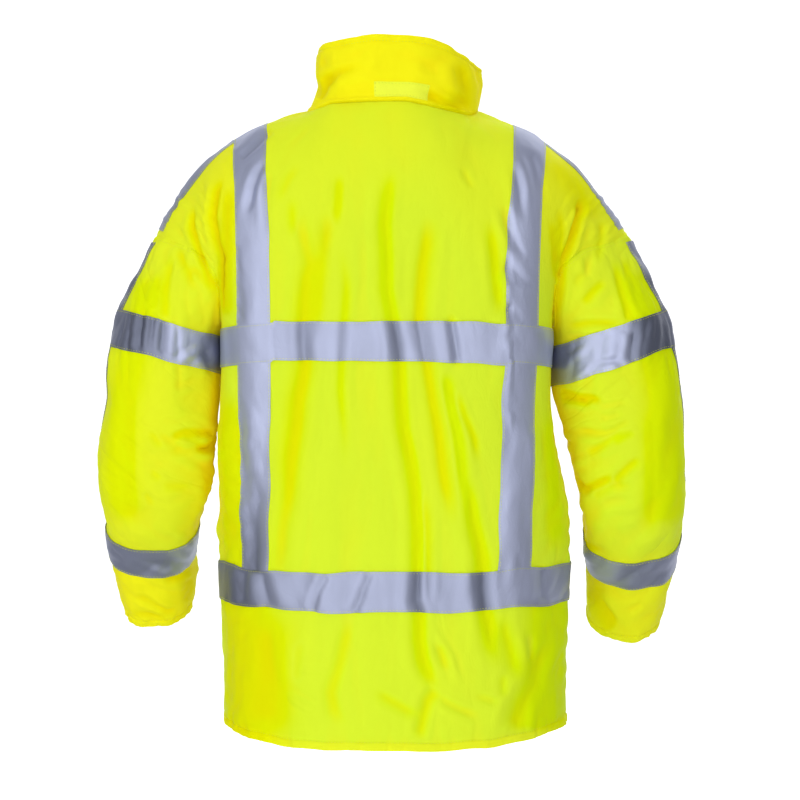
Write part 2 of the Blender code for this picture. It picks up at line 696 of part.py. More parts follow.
def build_zip(front_line, facing, depths):
    """Chain in the gap between the fronts and one woven tape behind it, as one T section."""
    run = lengths(front_line)
    run[0] += ZIP_ENDS[0]
    run[-1] -= ZIP_ENDS[1]
    line = read_path(front_line, run)
    chain, tape = CHAIN_WIDTH / 2, ZIP_TAPE_WIDTH / 2
    verts, faces = [], []
    for point, normal, depth in zip(line, facing, depths):
        flat = unit(normal * [0, 1, 1])
        back = depth + ZIP_TAPE_THICKNESS
        profile = [(chain, 0), (chain, depth), (tape, depth), (tape, back)]
        profile += [(-x, drop) for x, drop in profile[::-1]]
        for x, drop in profile:
            verts.append(point * [0, 1, 1] + [x, 0, 0] - flat * drop)
    ring = len(profile)
    for r in range(len(line) - 1):
        for c in range(ring):
            a, b = r * ring + c, r * ring + (c + 1) % ring
            faces.append((a, b, b + ring, a + ring))
    faces.append(tuple(range(ring))[::-1])
    faces.append(tuple(range(len(verts) - ring, len(verts))))
    return add_object("zip", verts, faces, ZIP_PLASTIC), line


def box(name, size, place):
    bpy.ops.mesh.primitive_cube_add(size=1.0, location=place)
    item = bpy.context.object
    item.name = name
    item.data.transform(Matrix.Diagonal((*size, 1.0)))
    return item


def rod(name, radius, length, place):
    bpy.ops.mesh.primitive_cylinder_add(
        vertices=ROUND_SIDES,
        radius=radius,
        depth=length,
        location=place,
        rotation=(0, math.pi / 2, 0),
    )
    item = bpy.context.object
    item.name = name
    return item


def dress(item, material):
    item.data.materials.clear()
    item.data.materials.append(make_material(material))
    return item


def combine(item, tool, operation):
    change = item.modifiers.new(operation.lower(), "BOOLEAN")
    change.solver = "EXACT"
    change.object = tool
    change.operation = operation
    bpy.context.view_layer.objects.active = item
    bpy.ops.object.modifier_apply(modifier=change.name)
    bpy.data.objects.remove(tool, do_unlink=True)


def build_slider(pin_place):
    """The slider on the chain, with two lugs that hold the pin."""
    x, y, z = pin_place
    face_y = y + EYE_RADIUS + EYE_CLEARANCE
    item = box("zip_slider", SLIDER_BLOCK, (x, face_y + SLIDER_BLOCK[1] / 2, z))
    lug_x = EYE_LENGTH / 2 + LUG_GAP + LUG_WIDTH / 2
    lug_start, lug_end = y - LUG_AHEAD, face_y + LUG_OVERLAP
    for side in SIGN.values():
        size = (LUG_WIDTH, lug_end - lug_start, LUG_HEIGHT)
        lug = box("lug", size, (x + side * lug_x, (lug_start + lug_end) / 2, z))
        combine(item, lug, "UNION")
    combine(item, rod("pin", PIN_RADIUS, 2 * lug_x, pin_place), "UNION")
    return dress(item, METAL)


def build_pull(pin_place):
    """The pull tab, hanging from the pin. Its eye is a short tube on the pin's axis."""
    x, y, z = pin_place
    item = rod("zip_pull", EYE_RADIUS, EYE_LENGTH, pin_place)
    size = (NECK_WIDTH, PULL_THICKNESS, NECK_END - NECK_START)
    neck = box("neck", size, (x, y, z - (NECK_START + NECK_END) / 2))
    combine(item, neck, "UNION")
    size = (PULL_WIDTH, PLATE_THICKNESS, PLATE_END - PLATE_START)
    plate = box("plate", size, (x, y, z - (PLATE_START + PLATE_END) / 2))
    bevel = plate.modifiers.new("round", "BEVEL")
    bevel.width = PLATE_ROUNDING
    bevel.segments = 1
    bpy.context.view_layer.objects.active = plate
    bpy.ops.object.modifier_apply(modifier=bevel.name)
    combine(item, plate, "UNION")
    combine(item, rod("hole", EYE_HOLE_RADIUS, EYE_LENGTH * 2, pin_place), "DIFFERENCE")
    return dress(item, METAL)


# ---- the jacket ----

NECK = COLUMN_STEPS[0]  # column of the neck point, counted from the middle
STRAP = (NECK + COLUMN_STEPS[1], NECK + COLUMN_STEPS[1] + COLUMN_STEPS[2])
EDGE = sum(COLUMN_STEPS)  # column of the side seam and the armhole
HEM_BAND = (row_of("band low edge"), row_of("band high edge"))
CHEST_BAND = (row_of("chest low edge"), row_of("chest high edge"))
UNDERARM = row_of("underarm")
STRIP_ROW = UNDERARM + UPPER_ROWS
TOP = STRIP_ROW + 1


def body_panels(quarters):
    back = np.concatenate(
        [quarters["right", "back"][:, ::-1], quarters["left", "back"][:, 1:]], axis=1
    )
    return {
        "back": press_folds(back, grid_normals(back)),
        "front_left": quarters["left", "front"][:, ::-1],
        "front_right": quarters["right", "front"],
    }


def sleeve_panel(side, panels):
    back_edge = panels["back"][UNDERARM:, -1 if side == "left" else 0]
    front_edge = panels[f"front_{side}"][UNDERARM:, 0 if side == "left" else -1]
    grid = sleeve_grid(side, back_edge, front_edge)
    return grid[:, ::-1] if side == "left" else grid


def collar_panel(quarters):
    seam = np.concatenate(
        [
            quarters["left", "front"][TOP, : NECK + 1],
            quarters["left", "back"][TOP, :NECK][::-1],
            quarters["right", "back"][TOP, 1 : NECK + 1],
            quarters["right", "front"][TOP, :NECK][::-1],
        ]
    )
    run = lengths(seam)
    angles = np.interp(run, run[::NECK], (-90.0, 0.0, 90.0, 180.0, 270.0))
    return collar_grid(seam, angles)[:, ::-1]


def build_cloth(panels):
    """Makes the wall of each panel, and returns the normals that its tapes follow."""
    seams = Seams()
    normals = {}
    for name, grid in panels.items():
        tube = name.startswith("sleeve")
        normals[name] = grid_normals(grid, closed=tube)
        register(seams, name, grid, normals[name], closed=tube)
    facings = {}
    for name, grid in panels.items():
        tube = name.startswith("sleeve")
        outer, facings[name] = settle(seams, name, grid, normals[name], closed=tube)
        thickness = WALL
        if name == "collar":  # thin at its seam, where it meets the body
            thickness = [WALL] + [COLLAR_WALL] * (len(COLLAR_STOPS) - 1)
        add_wall(name, outer, facings[name], thickness, YELLOW, closed=tube)
    return facings


def back_columns(side, first, last):
    """Columns of the back panel, counted from the middle, in the order of the side given."""
    if side == "left":
        return [EDGE + k for k in range(first, last + 1)]
    return [EDGE - k for k in range(last, first - 1, -1)]


def front_columns(side, first, last):
    """The same columns on a front, in the order in which the back panel has them."""
    if side == "left":
        return [EDGE - k for k in range(first, last + 1)]
    return list(range(last, first - 1, -1))


def over_shoulder(back, front, side, first, last, low):
    """Points of the back and of a front as one block that runs over the shoulder seam."""
    rear = back[low : TOP + 1][:, back_columns(side, first, last)]
    ahead = front[low:TOP][::-1][:, front_columns(side, first, last)]
    return np.concatenate([rear, ahead])


def build_body_tapes(panels, facings):
    cut = SEAM_GAP
    back, back_facing = panels["back"], facings["back"]
    for name, (low, high) in {"hem": HEM_BAND, "chest": CHEST_BAND}.items():
        rows = slice(low, high + 1)
        add_tape(f"band_{name}_back", back[rows], back_facing[rows], (0, 0, cut, cut))
        for side in SIGN:
            front, facing = panels[f"front_{side}"], facings[f"front_{side}"]
            trims = (0, 0, cut, 0) if side == "left" else (0, 0, 0, cut)
            add_tape(f"band_{name}_front_{side}", front[rows], facing[rows], trims)

    between = slice(HEM_BAND[1], CHEST_BAND[0] + 1)
    for side in SIGN:
        front, front_facing = panels[f"front_{side}"], facings[f"front_{side}"]
        part = (between, back_columns(side, *STRAP))
        add_tape(f"strap_back_{side}", back[part], back_facing[part], (cut, cut, 0, 0))
        part = (between, sorted(front_columns(side, *STRAP)))
        add_tape(f"strap_front_{side}", front[part], front_facing[part], (cut, cut, 0, 0))
        for name, first, last, low, trims, lift in (
            ("strap_shoulder", *STRAP, CHEST_BAND[1], (cut, cut, 0, 0), TAPE_LIFT),
            ("shoulder_strip", STRAP[1], EDGE, STRIP_ROW, (0, 0, cut, STRIP_END), STRIP_LIFT),
        ):
            grid = over_shoulder(back, front, side, first, last, low)
            facing = over_shoulder(back_facing, front_facing, side, first, last, low)
            if side == "right":
                trims = (*trims[:2], trims[3], trims[2])
            add_tape(f"{name}_{side}", grid, facing, trims, lift=lift)


def build_sleeve_tapes(panels, facings):
    rows = dict(zip(SLEEVES["left"], np.cumsum(SLEEVE_STEPS)))
    high, low = rows["tape high edge"], rows["tape low edge"]
    cuff_high, cuff_low = rows["low tape high edge"], rows["low tape low edge"]
    for side in SIGN:
        grid, facing = panels[f"sleeve_{side}"], facings[f"sleeve_{side}"]
        for name, first, last in (("upper", high, low), ("lower", cuff_high, cuff_low)):
            part = slice(first, last + 1)
            add_tape(f"sleeve_band_{name}_{side}", grid[part], facing[part], closed=True)
        first_column = UPPER_ROWS if side == "right" else UPPER_ROWS - 1
        columns = slice(first_column, first_column + 3)
        for name, first, last, trims in (
            ("upper", 0, high, (STRIP_END, SEAM_GAP, 0, 0)),
            ("lower", low, cuff_high, (SEAM_GAP, SEAM_GAP, 0, 0)),
        ):
            part = (slice(first, last + 1), columns)
            add_tape(
                f"sleeve_strip_{name}_{side}", grid[part], facing[part], trims, lift=STRIP_LIFT
            )


def build_collar_trim(panels, facings):
    grid, facing = panels["collar"], facings["collar"]
    middle = 2 * NECK
    part = (slice(0, 2), slice(middle - 3, middle + 4))
    add_layer("collar_welt", grid[part], facing[part], WELT_THICKNESS, YELLOW, (SEAM_GAP, 0, 0, 0))
    part = (slice(1, 3), slice(middle - 1, middle + 2))
    add_layer("collar_patch", grid[part], facing[part], PATCH_THICKNESS, LOOP, (SEAM_GAP, 0, 0, 0))


def build_closure(panels, facings):
    fronts = panels["front_left"][:, -1], facings["front_left"][:, -1]
    collar = panels["collar"][1:, -1], facings["collar"][1:, -1]
    line = np.concatenate([fronts[0], collar[0]])
    facing = np.concatenate([fronts[1], collar[1]])
    depths = [WALL + ZIP_TAPE_CLEARANCE] * len(fronts[0])
    depths += [COLLAR_WALL + ZIP_TAPE_CLEARANCE] * len(collar[0])
    chain = build_zip(line, facing, depths)[1]
    run = lengths(chain)
    top = read_path(chain, [run[-1] - SLIDER_DROP])[0]
    ahead = SLIDER_GAP + SLIDER_BLOCK[1] + EYE_CLEARANCE + EYE_RADIUS
    pin = (0.0, top[1] - ahead, top[2])
    build_slider(pin)
    build_pull(pin)


def build_jacket():
    quarters = {(s, f): quarter_grid(s, f) for s in SIGN for f in ("back", "front")}
    panels = body_panels(quarters)
    for side in SIGN:
        panels[f"sleeve_{side}"] = sleeve_panel(side, panels)
    panels["collar"] = collar_panel(quarters)
    facings = build_cloth(panels)
    build_body_tapes(panels, facings)
    build_sleeve_tapes(panels, facings)
    build_collar_trim(panels, facings)
    build_closure(panels, facings)


clear_scene()
build_jacket()
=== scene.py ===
import math

import bmesh
import bpy
import numpy as np
from mathutils.bvhtree import BVHTree
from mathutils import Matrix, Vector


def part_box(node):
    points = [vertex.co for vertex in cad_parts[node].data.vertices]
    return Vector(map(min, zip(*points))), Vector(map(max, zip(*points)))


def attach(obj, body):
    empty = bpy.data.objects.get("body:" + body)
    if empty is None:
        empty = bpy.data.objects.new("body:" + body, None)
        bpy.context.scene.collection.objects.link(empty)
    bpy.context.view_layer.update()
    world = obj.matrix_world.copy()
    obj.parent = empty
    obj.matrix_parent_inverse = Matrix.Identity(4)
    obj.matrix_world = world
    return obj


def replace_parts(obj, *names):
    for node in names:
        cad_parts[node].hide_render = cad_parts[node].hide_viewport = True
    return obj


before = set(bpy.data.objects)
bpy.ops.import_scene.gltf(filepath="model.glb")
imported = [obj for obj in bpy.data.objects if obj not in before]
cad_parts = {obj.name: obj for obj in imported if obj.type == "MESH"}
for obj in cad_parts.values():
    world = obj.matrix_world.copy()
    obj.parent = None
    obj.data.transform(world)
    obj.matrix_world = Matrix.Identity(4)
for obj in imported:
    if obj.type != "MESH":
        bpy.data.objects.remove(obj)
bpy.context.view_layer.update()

# Hi-vis work jacket, filled out as if worn. Metres, +Z up, back of the jacket towards +Y,
# wearer's left towards +X, origin in the middle of the neck.
# Each cloth panel is a fine grid of points, creased along listed folds. The tapes take
# their points from the panel below, so they follow every crease.

sides = {"left": 1.0, "right": -1.0}
faceSigns = {"back": 1.0, "front": -1.0}

cloth = {
    "wall": 0.003,
    "collarWall": 0.005,
    "collarFull": 0.008,  # how far above its seam the collar has its whole thickness
    "seamSink": (0.0011, 0.000385),  # how deep a sewn seam draws in its edge row and the next
    "clearance": 0.0032,  # between the body and a sleeve pressed on its side
    "frontEdge": 0.004,  # from the middle of the zip to the edge of each front
}

tape = {
    "strapShade": 0.8,  # the upright tapes get less of the painted shade than the bands
    "width": 0.05,
    "thick": 0.0005,
    "lift": 0.0003,
    "bandLift": 0.0009,  # the level bands lie over the upright straps
    "behind": {"left": 0.031, "right": 0.029},  # of the shoulder seam, by the shoulder strip
    "seamGap": 0.01,  # bare cloth between the strips and the armhole seam
    "tuck": 0.0006,
}


def stripReach(side, face):
    # how far the shoulder strip reaches to the back or the front of the shoulder seam
    behind = tape["behind"][side]
    return behind if face == "back" else tape["width"] - behind


samples = {"outline": 600, "column": 300, "armhole": 800, "ring": 1200}  # steps of the guide curves


def unit(vectors):
    return vectors / np.maximum(np.linalg.norm(vectors, axis=-1, keepdims=True), 1e-12)


def smoothCurve(knots, values, at):
    knots, values = np.asarray(knots, float), np.asarray(values, float)
    at = np.clip(np.atleast_1d(np.asarray(at, float)), knots[0], knots[-1])
    span = np.diff(knots)
    slope = np.diff(values, axis=0) / span.reshape((-1,) + (1,) * (values.ndim - 1))
    tangent = np.empty_like(values)
    tangent[0], tangent[-1] = slope[0], slope[-1]
    for k in range(1, len(knots) - 1):
        before, after = span[k - 1], span[k]
        tangent[k] = (slope[k - 1] * after + slope[k] * before) / (before + after)
    cell = np.clip(np.searchsorted(knots, at, side="right") - 1, 0, len(span) - 1)
    shape = (-1,) + (1,) * (values.ndim - 1)
    h = span[cell].reshape(shape)
    t = ((at - knots[cell]) / span[cell]).reshape(shape)
    return (
        (2 * t**3 - 3 * t**2 + 1) * values[cell]
        + (t**3 - 2 * t**2 + t) * h * tangent[cell]
        + (3 * t**2 - 2 * t**3) * values[cell + 1]
        + (t**3 - t**2) * h * tangent[cell + 1]
    )


def bezier(p0, p1, p2, p3, t):
    t = np.asarray(t, float).reshape(-1, 1)
    return (1 - t) ** 3 * p0 + 3 * (1 - t) ** 2 * t * p1 + 3 * (1 - t) * t**2 * p2 + t**3 * p3


def runLengths(path):
    return np.concatenate([[0.0], np.cumsum(np.linalg.norm(np.diff(path, axis=0), axis=1))])


def readAlong(run, values, distances):
    return np.stack([np.interp(distances, run, column) for column in values.T], axis=1)


def readPath(path, distances):
    return readAlong(runLengths(path), path, distances)


def spread(stops, counts):
    places = [stops[0]]
    for start, end, count in zip(stops[:-1], stops[1:], counts):
        places += [start + (end - start) * (k + 1) / count for k in range(count)]
    return np.array(places)


def ease(low, high, value):
    t = np.clip((np.asarray(value, float) - low) / (high - low), 0.0, 1.0)
    return t * t * (3 - 2 * t)


# the body's cut: each section from the hem up is heights at the back, side and front, reach to
# the left, right, back and front, and how square it is (2 is round)
body = {
    "columns": "backZ sideZ frontZ left right back front full".split(),
    "sections": {
        "hem": (-0.8200, -0.8000, -0.8060, 0.2200, 0.2275, 0.160, 0.154, 2.3),
        "skirt": (-0.7200, -0.7100, -0.7150, 0.2212, 0.2300, 0.162, 0.156, 2.3),
        "bandLow": (-0.6450, -0.6400, -0.6440, 0.2214, 0.2300, 0.163, 0.158, 2.4),
        "bandHigh": (-0.5950, -0.5900, -0.5940, 0.2216, 0.2300, 0.163, 0.158, 2.5),
        "waist": (-0.5300, -0.5280, -0.5300, 0.2245, 0.2295, 0.162, 0.158, 2.7),
        "ribs": (-0.4500, -0.4520, -0.4520, 0.2285, 0.2180, 0.161, 0.160, 3.1),
        "underChest": (-0.3850, -0.3900, -0.3890, 0.2255, 0.2075, 0.162, 0.164, 3.5),
        "chestLow": (-0.3315, -0.3385, -0.3370, 0.2228, 0.2068, 0.164, 0.167, 3.8),
        "chestHigh": (-0.2815, -0.2890, -0.2870, 0.2223, 0.2080, 0.165, 0.168, 3.9),
        "underarm": (-0.2750, -0.2825, -0.2805, 0.2223, 0.2080, 0.165, 0.168, 3.9),
    },
    # fine rows between the named heights; the hem has its own, closer ones
    "hemRows": (0.0, 0.003, 0.006, 0.009, 0.0105, 0.012, 0.0145, 0.018, 0.022),
    "rows": {
        "bandLow": ("bandHigh", 16),
        "bandHigh": ("chestLow", 84),
        "chestLow": ("chestHigh", 16),
        "chestHigh": ("underarm", 2),
    },
    "skirtRows": 50,
    "upperRows": (98, 11),
    "neckDetail": 10,
    "columnsOut": (14, 16, 55),
    "straps": {
        "z": (-0.820, -0.620, -0.450, -0.275),
        "left": (0.1745, 0.1745, 0.1750, 0.1765),
        "right": (0.1535, 0.1535, 0.1590, 0.1660),
    },
    "shoulders": {
        "left": {
            "seam": ((0.1135, 0.003), (0.196, -0.018), (0.262, -0.060), (0.3155, -0.161)),
            "strap": 0.187,
        },
        "right": {
            "seam": ((0.1120, 0.003), (0.182, -0.020), (0.254, -0.064), (0.3090, -0.163)),
            "strap": 0.181,
        },
    },
    "neckMiddle": {"back": (0.090, 0.0), "front": (-0.100, -0.035)},
    "neckStops": {
        "left": (0.0, 0.14, 0.40, 0.70, 1.0),
        "right": (0.0, 0.28, 0.52, 0.76, 1.0),
    },
    # handles of the curves from the underarm over the shoulder, by the place round the body:
    # place, upOut, upBack, upZ, overOut, overBack, overZ
    "handles": {
        "back": (
            (0.00, 0.000, 0.004, 0.120, 0.000, 0.150, -0.050),
            (0.28, 0.000, 0.004, 0.120, 0.000, 0.140, -0.024),
            (0.45, 0.000, 0.004, 0.115, 0.000, 0.130, -0.012),
            (0.60, 0.000, 0.006, 0.110, -0.006, 0.120, -0.012),
            (0.80, -0.004, 0.045, 0.060, -0.030, 0.112, -0.012),
            (1.00, -0.010, 0.100, -0.002, -0.0450, 0.100, -0.012),
        ),
        "front": (
            (0.00, 0.000, 0.000, 0.110, 0.000, 0.150, -0.050),
            (0.28, 0.000, 0.000, 0.110, 0.000, 0.136, -0.024),
            (0.45, 0.000, 0.000, 0.110, 0.000, 0.125, -0.012),
            (0.60, 0.000, 0.004, 0.105, -0.006, 0.115, -0.012),
            (0.80, -0.004, 0.042, 0.060, -0.030, 0.106, -0.012),
            (1.00, -0.012, 0.095, -0.002, -0.0450, 0.095, -0.012),
        ),
    },
    # armhole edge from the underarm to the shoulder tip: part of the way out, distance from
    # the plane of the shoulder seams, part of the way up
    "armhole": (
        (0.00, 0.000, 0.000),
        (-0.02, 0.045, 0.060),
        (-0.03, 0.077, 0.300),
        (0.08, 0.088, 0.580),
        (0.34, 0.077, 0.780),
        (0.68, 0.051, 0.900),
        (0.90, 0.026, 0.970),
        (1.00, 0.000, 1.000),
    ),
    "armholePull": 0.55,  # how far out the rows start to lean to the armhole
    "sideDrop": 4,  # how late a row turns from its middle height to its side height
    "corner": {"reach": 10, "rows": 16.0, "mean": 6, "times": 3},
}

neckColumns = 4 * body["neckDetail"]
strapColumns = (
    neckColumns + body["columnsOut"][0],
    neckColumns + body["columnsOut"][0] + body["columnsOut"][1],
)
edgeColumn = neckColumns + sum(body["columnsOut"])


def bodyAt(heights):
    rows = np.array(list(body["sections"].values()))
    return dict(zip(body["columns"], smoothCurve(rows[:, 0], rows, heights).T))


def bodyHalfWidth(points, side):
    # how far out the body's side stands at each point's height and depth
    at = bodyAt(points[:, 2])
    deep = np.where(points[:, 1] > 0, at["back"], at["front"])
    part = np.minimum(np.abs(points[:, 1]) / deep, 1.0)
    return at[side] * np.maximum(1 - part ** at["full"], 0.0) ** (1 / at["full"])


def quarterOutline(section, side, face):
    wide, deep, power = section[side], section[face], section["full"]
    angle = np.linspace(0.0, math.pi / 2, samples["outline"])
    reach = ((np.cos(angle) / deep) ** power + (np.sin(angle) / wide) ** power) ** (-1 / power)
    x = reach * np.sin(angle)
    y = reach * np.cos(angle) * faceSigns[face]
    middleZ = section[f"{face}Z"]
    z = middleZ + (section["sideZ"] - middleZ) * (x / wide) ** body["sideDrop"]
    return np.stack([x, y, z], axis=1)


def neckPlaces(side):
    stops = body["neckStops"][side]
    return np.interp(np.arange(neckColumns + 1) / body["neckDetail"], range(5), stops)


def lowerRow(backZ, side, face):
    section = bodyAt(backZ)
    outline = quarterOutline(section, side, face)
    run = runLengths(outline)
    strapX = smoothCurve(body["straps"]["z"], body["straps"][side], backZ)[0]
    strap = np.interp(strapX, outline[:, 0], run)
    half = tape["width"] / 2
    stops = [0.0, 0.6 * strap, strap - half, strap + half, run[-1]]
    if face == "front":
        stops[0] = np.interp(cloth["frontEdge"], outline[:, 0], run)
    neck = stops[0] + (stops[1] - stops[0]) * neckPlaces(side)
    places = np.concatenate([neck[:-1], spread(stops[1:], body["columnsOut"])])
    return readPath(outline, places), places / run[-1]


def topRow(side, face):
    shoulder = body["shoulders"][side]
    neckX, neckZ = shoulder["seam"][0]
    middleY, middleZ = body["neckMiddle"][face]
    angle = np.linspace(0.0, math.pi / 2, samples["outline"])
    rise = (1 - np.cos(angle)) ** 1.5 if face == "front" else 1 - np.cos(angle)
    seam = np.stack(
        [neckX * np.sin(angle), middleY * np.cos(angle), middleZ + (neckZ - middleZ) * rise],
        axis=1,
    )
    run = runLengths(seam)
    start = np.interp(cloth["frontEdge"], seam[:, 0], run) if face == "front" else 0.0
    neck = readPath(seam, start + (run[-1] - start) * neckPlaces(side))
    corners = [np.array([x, 0.0, z]) for x, z in shoulder["seam"]]
    curve = bezier(*corners, np.linspace(0.0, 1.0, samples["outline"]))
    run = runLengths(curve)
    strap = np.interp(shoulder["strap"], curve[:, 0], run)
    half = tape["width"] / 2
    stops = [0.0, strap - half, strap + half, run[-1]]
    return np.concatenate([neck, readPath(curve, spread(stops, body["columnsOut"]))[1:]])


def upTo(path, side, face):
    # the points of a path up to the shoulder seam, with rows of their own under the strip
    run = runLengths(path)[-1]
    return readPath(path, spread([0.0, run - stripReach(side, face), run], body["upperRows"]))


def armholeEdge(side, face, underarm):
    tipX, tipZ = body["shoulders"][side]["seam"][3]
    out, away, up = np.array(body["armhole"]).T
    points = np.stack(
        [
            underarm[0] + (tipX - underarm[0]) * out,
            faceSigns[face] * away,
            underarm[2] + (tipZ - underarm[2]) * up,
        ],
        axis=1,
    )
    places = np.linspace(0, len(points) - 1, samples["armhole"])
    path = smoothCurve(np.arange(len(points)), points, places)
    return upTo(path, side, face)


def upperRows(side, face, bottom, parts):
    table = np.array(body["handles"][face])
    upOut, upBack, upZ, overOut, overBack, overZ = smoothCurve(table[:, 0], table[:, 1:], parts).T
    rear, top = faceSigns[face], topRow(side, face)
    columns = []
    for k, start in enumerate(bottom):
        over = top[k] + [overOut[k], 0.0, overZ[k]]
        over[1] = rear * overBack[k]
        up = start + [upOut[k], rear * upBack[k], upZ[k]]
        path = bezier(start, up, over, top[k], np.linspace(0.0, 1.0, samples["column"]))
        columns.append(upTo(path, side, face))
    grid = np.array(columns).transpose(1, 0, 2)
    edge = armholeEdge(side, face, bottom[-1])
    pull = np.clip((parts - body["armholePull"]) / (1 - body["armholePull"]), 0.0, 1.0) ** 2
    return grid + pull[None, :, None] * (edge - grid[:, -1])[:, None]


def bodyHeights():
    hem, low = body["sections"]["hem"][0], body["sections"]["bandLow"][0]
    heights = [hem + rise for rise in body["hemRows"]]
    heights += list(np.linspace(heights[-1], low, body["skirtRows"] + 1)[1:])
    marks = {"bandLow": len(heights) - 1}
    for name, (end, count) in body["rows"].items():
        startZ, endZ = body["sections"][name][0], body["sections"][end][0]
        heights += list(np.linspace(startZ, endZ, count + 1)[1:])
        marks[end] = len(heights) - 1
    return heights, marks


def smoothedCorner(grid):
    # evens out the column that runs down from the corner of the neck
    corner = body["corner"]
    columns = np.arange(grid.shape[1])
    near = np.exp(-(((columns - neckColumns) / corner["reach"]) ** 2))[None, :, None]
    rows = np.arange(grid.shape[0])[:, None, None]
    below = ease(0.0, corner["rows"], grid.shape[0] - 1.0 - rows)
    weight = near * below * (rows > grid.shape[0] // 2)
    pad, count = corner["mean"], 2 * corner["mean"] + 1
    for _ in range(corner["times"]):
        padded = np.pad(grid, ((0, 0), (pad, pad), (0, 0)), mode="reflect", reflect_type="odd")
        mean = sum(padded[:, k : k + len(columns)] for k in range(count)) / count
        grid = grid + weight * (mean - grid)
    return grid


def quarterGrid(side, face, heights):
    rows = []
    for backZ in heights:
        row, parts = lowerRow(backZ, side, face)
        rows.append(row)
    grid = np.concatenate([np.array(rows), upperRows(side, face, rows[-1], parts)[1:]])
    grid = smoothedCorner(grid)
    grid[..., 0] *= sides[side]
    return grid


# the sleeves' cut: each ring from the armhole down is its height, inner and outer side, middle
# and depth from back to front, lean and bend in degrees, and how far back the strip runs
sleeves = {
    "columns": "midZ inner outer midY deep lean bend strip".split(),
    "full": 2.2,
    "left": {
        "tapeHigh": (-0.2790, 0.2250, 0.3582, 0.000, 0.0860, 15.0, 0.0, 0.014),
        "tapeLow": (-0.3280, 0.2255, 0.3690, 0.000, 0.0855, 14.0, 0.0, 0.012),
        "upperArm": (-0.3850, 0.2295, 0.3765, 0.001, 0.0830, 9.0, 3.0, -0.008),
        "aboveElbow": (-0.4400, 0.2360, 0.3865, 0.001, 0.0790, 4.0, 9.0, -0.026),
        "elbow": (-0.4860, 0.2405, 0.3885, -0.008, 0.0740, 0.0, 20.0, -0.030),
        "belowElbow": (-0.5180, 0.2500, 0.3870, -0.022, 0.0670, 0.0, 30.0, -0.032),
        "lowTapeHigh": (-0.5420, 0.2575, 0.3845, -0.038, 0.0610, 0.0, 36.0, -0.033),
        "lowTapeLow": (-0.5820, 0.2640, 0.3795, -0.068, 0.0570, 0.0, 37.0, -0.033),
        "forearm": (-0.6200, 0.2665, 0.3750, -0.097, 0.0530, 0.0, 38.0, -0.033),
        "cuff": (-0.6590, 0.2720, 0.3690, -0.127, 0.0500, 0.0, 38.0, -0.033),
    },
    "right": {
        "tapeHigh": (-0.2865, 0.2110, 0.3560, 0.000, 0.0860, 18.0, 0.0, 0.013),
        "tapeLow": (-0.3365, 0.2100, 0.3690, 0.000, 0.0860, 18.0, 0.0, 0.011),
        "upperArm": (-0.3850, 0.2200, 0.3800, 0.001, 0.0840, 13.0, 3.0, -0.010),
        "aboveElbow": (-0.4400, 0.2350, 0.3850, 0.001, 0.0795, 4.0, 9.0, -0.026),
        "elbow": (-0.4920, 0.2420, 0.3875, -0.009, 0.0745, 0.0, 20.0, -0.030),
        "belowElbow": (-0.5280, 0.2490, 0.3865, -0.024, 0.0675, 0.0, 30.0, -0.032),
        "lowTapeHigh": (-0.5570, 0.2545, 0.3850, -0.043, 0.0620, 0.0, 36.0, -0.033),
        "lowTapeLow": (-0.5970, 0.2610, 0.3815, -0.073, 0.0580, 0.0, 37.0, -0.033),
        "forearm": (-0.6350, 0.2625, 0.3760, -0.102, 0.0535, 0.0, 38.0, -0.033),
        "cuff": (-0.6770, 0.2670, 0.3670, -0.135, 0.0505, -5.0, 38.0, -0.033),
    },
    "rows": (38, 17, 20, 19, 16, 12, 10, 16, 14, 14),
    "cuffRows": (0.0145, 0.012, 0.0105, 0.009, 0.006, 0.003),
}


def offTheBody(points, side):
    clear = points.copy()
    clear[:, 0] = np.maximum(points[:, 0], bodyHalfWidth(points, side) + cloth["clearance"])
    return clear


def sleeveRing(row, side):
    s = dict(zip(sleeves["columns"], row))
    lean, bend = math.radians(s["lean"]), math.radians(s["bend"])
    half = (s["outer"] - s["inner"]) / 2 / math.cos(lean)
    out = np.array([math.cos(lean), 0.0, math.sin(lean)])
    back = np.array([0.0, math.cos(bend), -math.sin(bend)])
    middle = np.array([(s["inner"] + s["outer"]) / 2, s["midY"], s["midZ"]])
    angle = np.linspace(math.pi, -math.pi, samples["ring"] + 1)
    across, deep = np.abs(np.cos(angle)) / half, np.abs(np.sin(angle)) / s["deep"]
    reach = (across ** sleeves["full"] + deep ** sleeves["full"]) ** (-1 / sleeves["full"])
    ring = middle + np.outer(reach * np.cos(angle), out) + np.outer(reach * np.sin(angle), back)
    ring = offTheBody(ring, side)
    run = runLengths(ring)
    start = run[samples["ring"] // 2] - s["strip"] - tape["width"] / 2
    stops = [0.0, start, start + stripReach(side, "back"), start + tape["width"], run[-1]]
    rows, strip = body["upperRows"]
    return readPath(ring, spread(stops, (rows, strip, strip, rows)))


def sleeveGrid(side, backEdge, frontEdge):
    loop = np.concatenate([backEdge, frontEdge[::-1][1:]]) * [sides[side], 1.0, 1.0]
    rings = [loop] + [sleeveRing(row, side) for row in sleeves[side].values()]
    knots = runLengths(np.array([ring[:-1].mean(axis=0) for ring in rings]))
    places = spread(list(knots), sleeves["rows"])
    places = np.unique(np.concatenate([places, knots[-1] - np.array(sleeves["cuffRows"])]))
    grid = smoothCurve(knots, np.array(rings), places)
    for row in range(1, len(grid)):
        grid[row] = offTheBody(grid[row], side)
    grid[..., 0] *= sides[side]
    marks = dict(zip(sleeves[side], np.searchsorted(places, knots[1:] - 1e-9)))
    return grid[:, :-1], marks, places


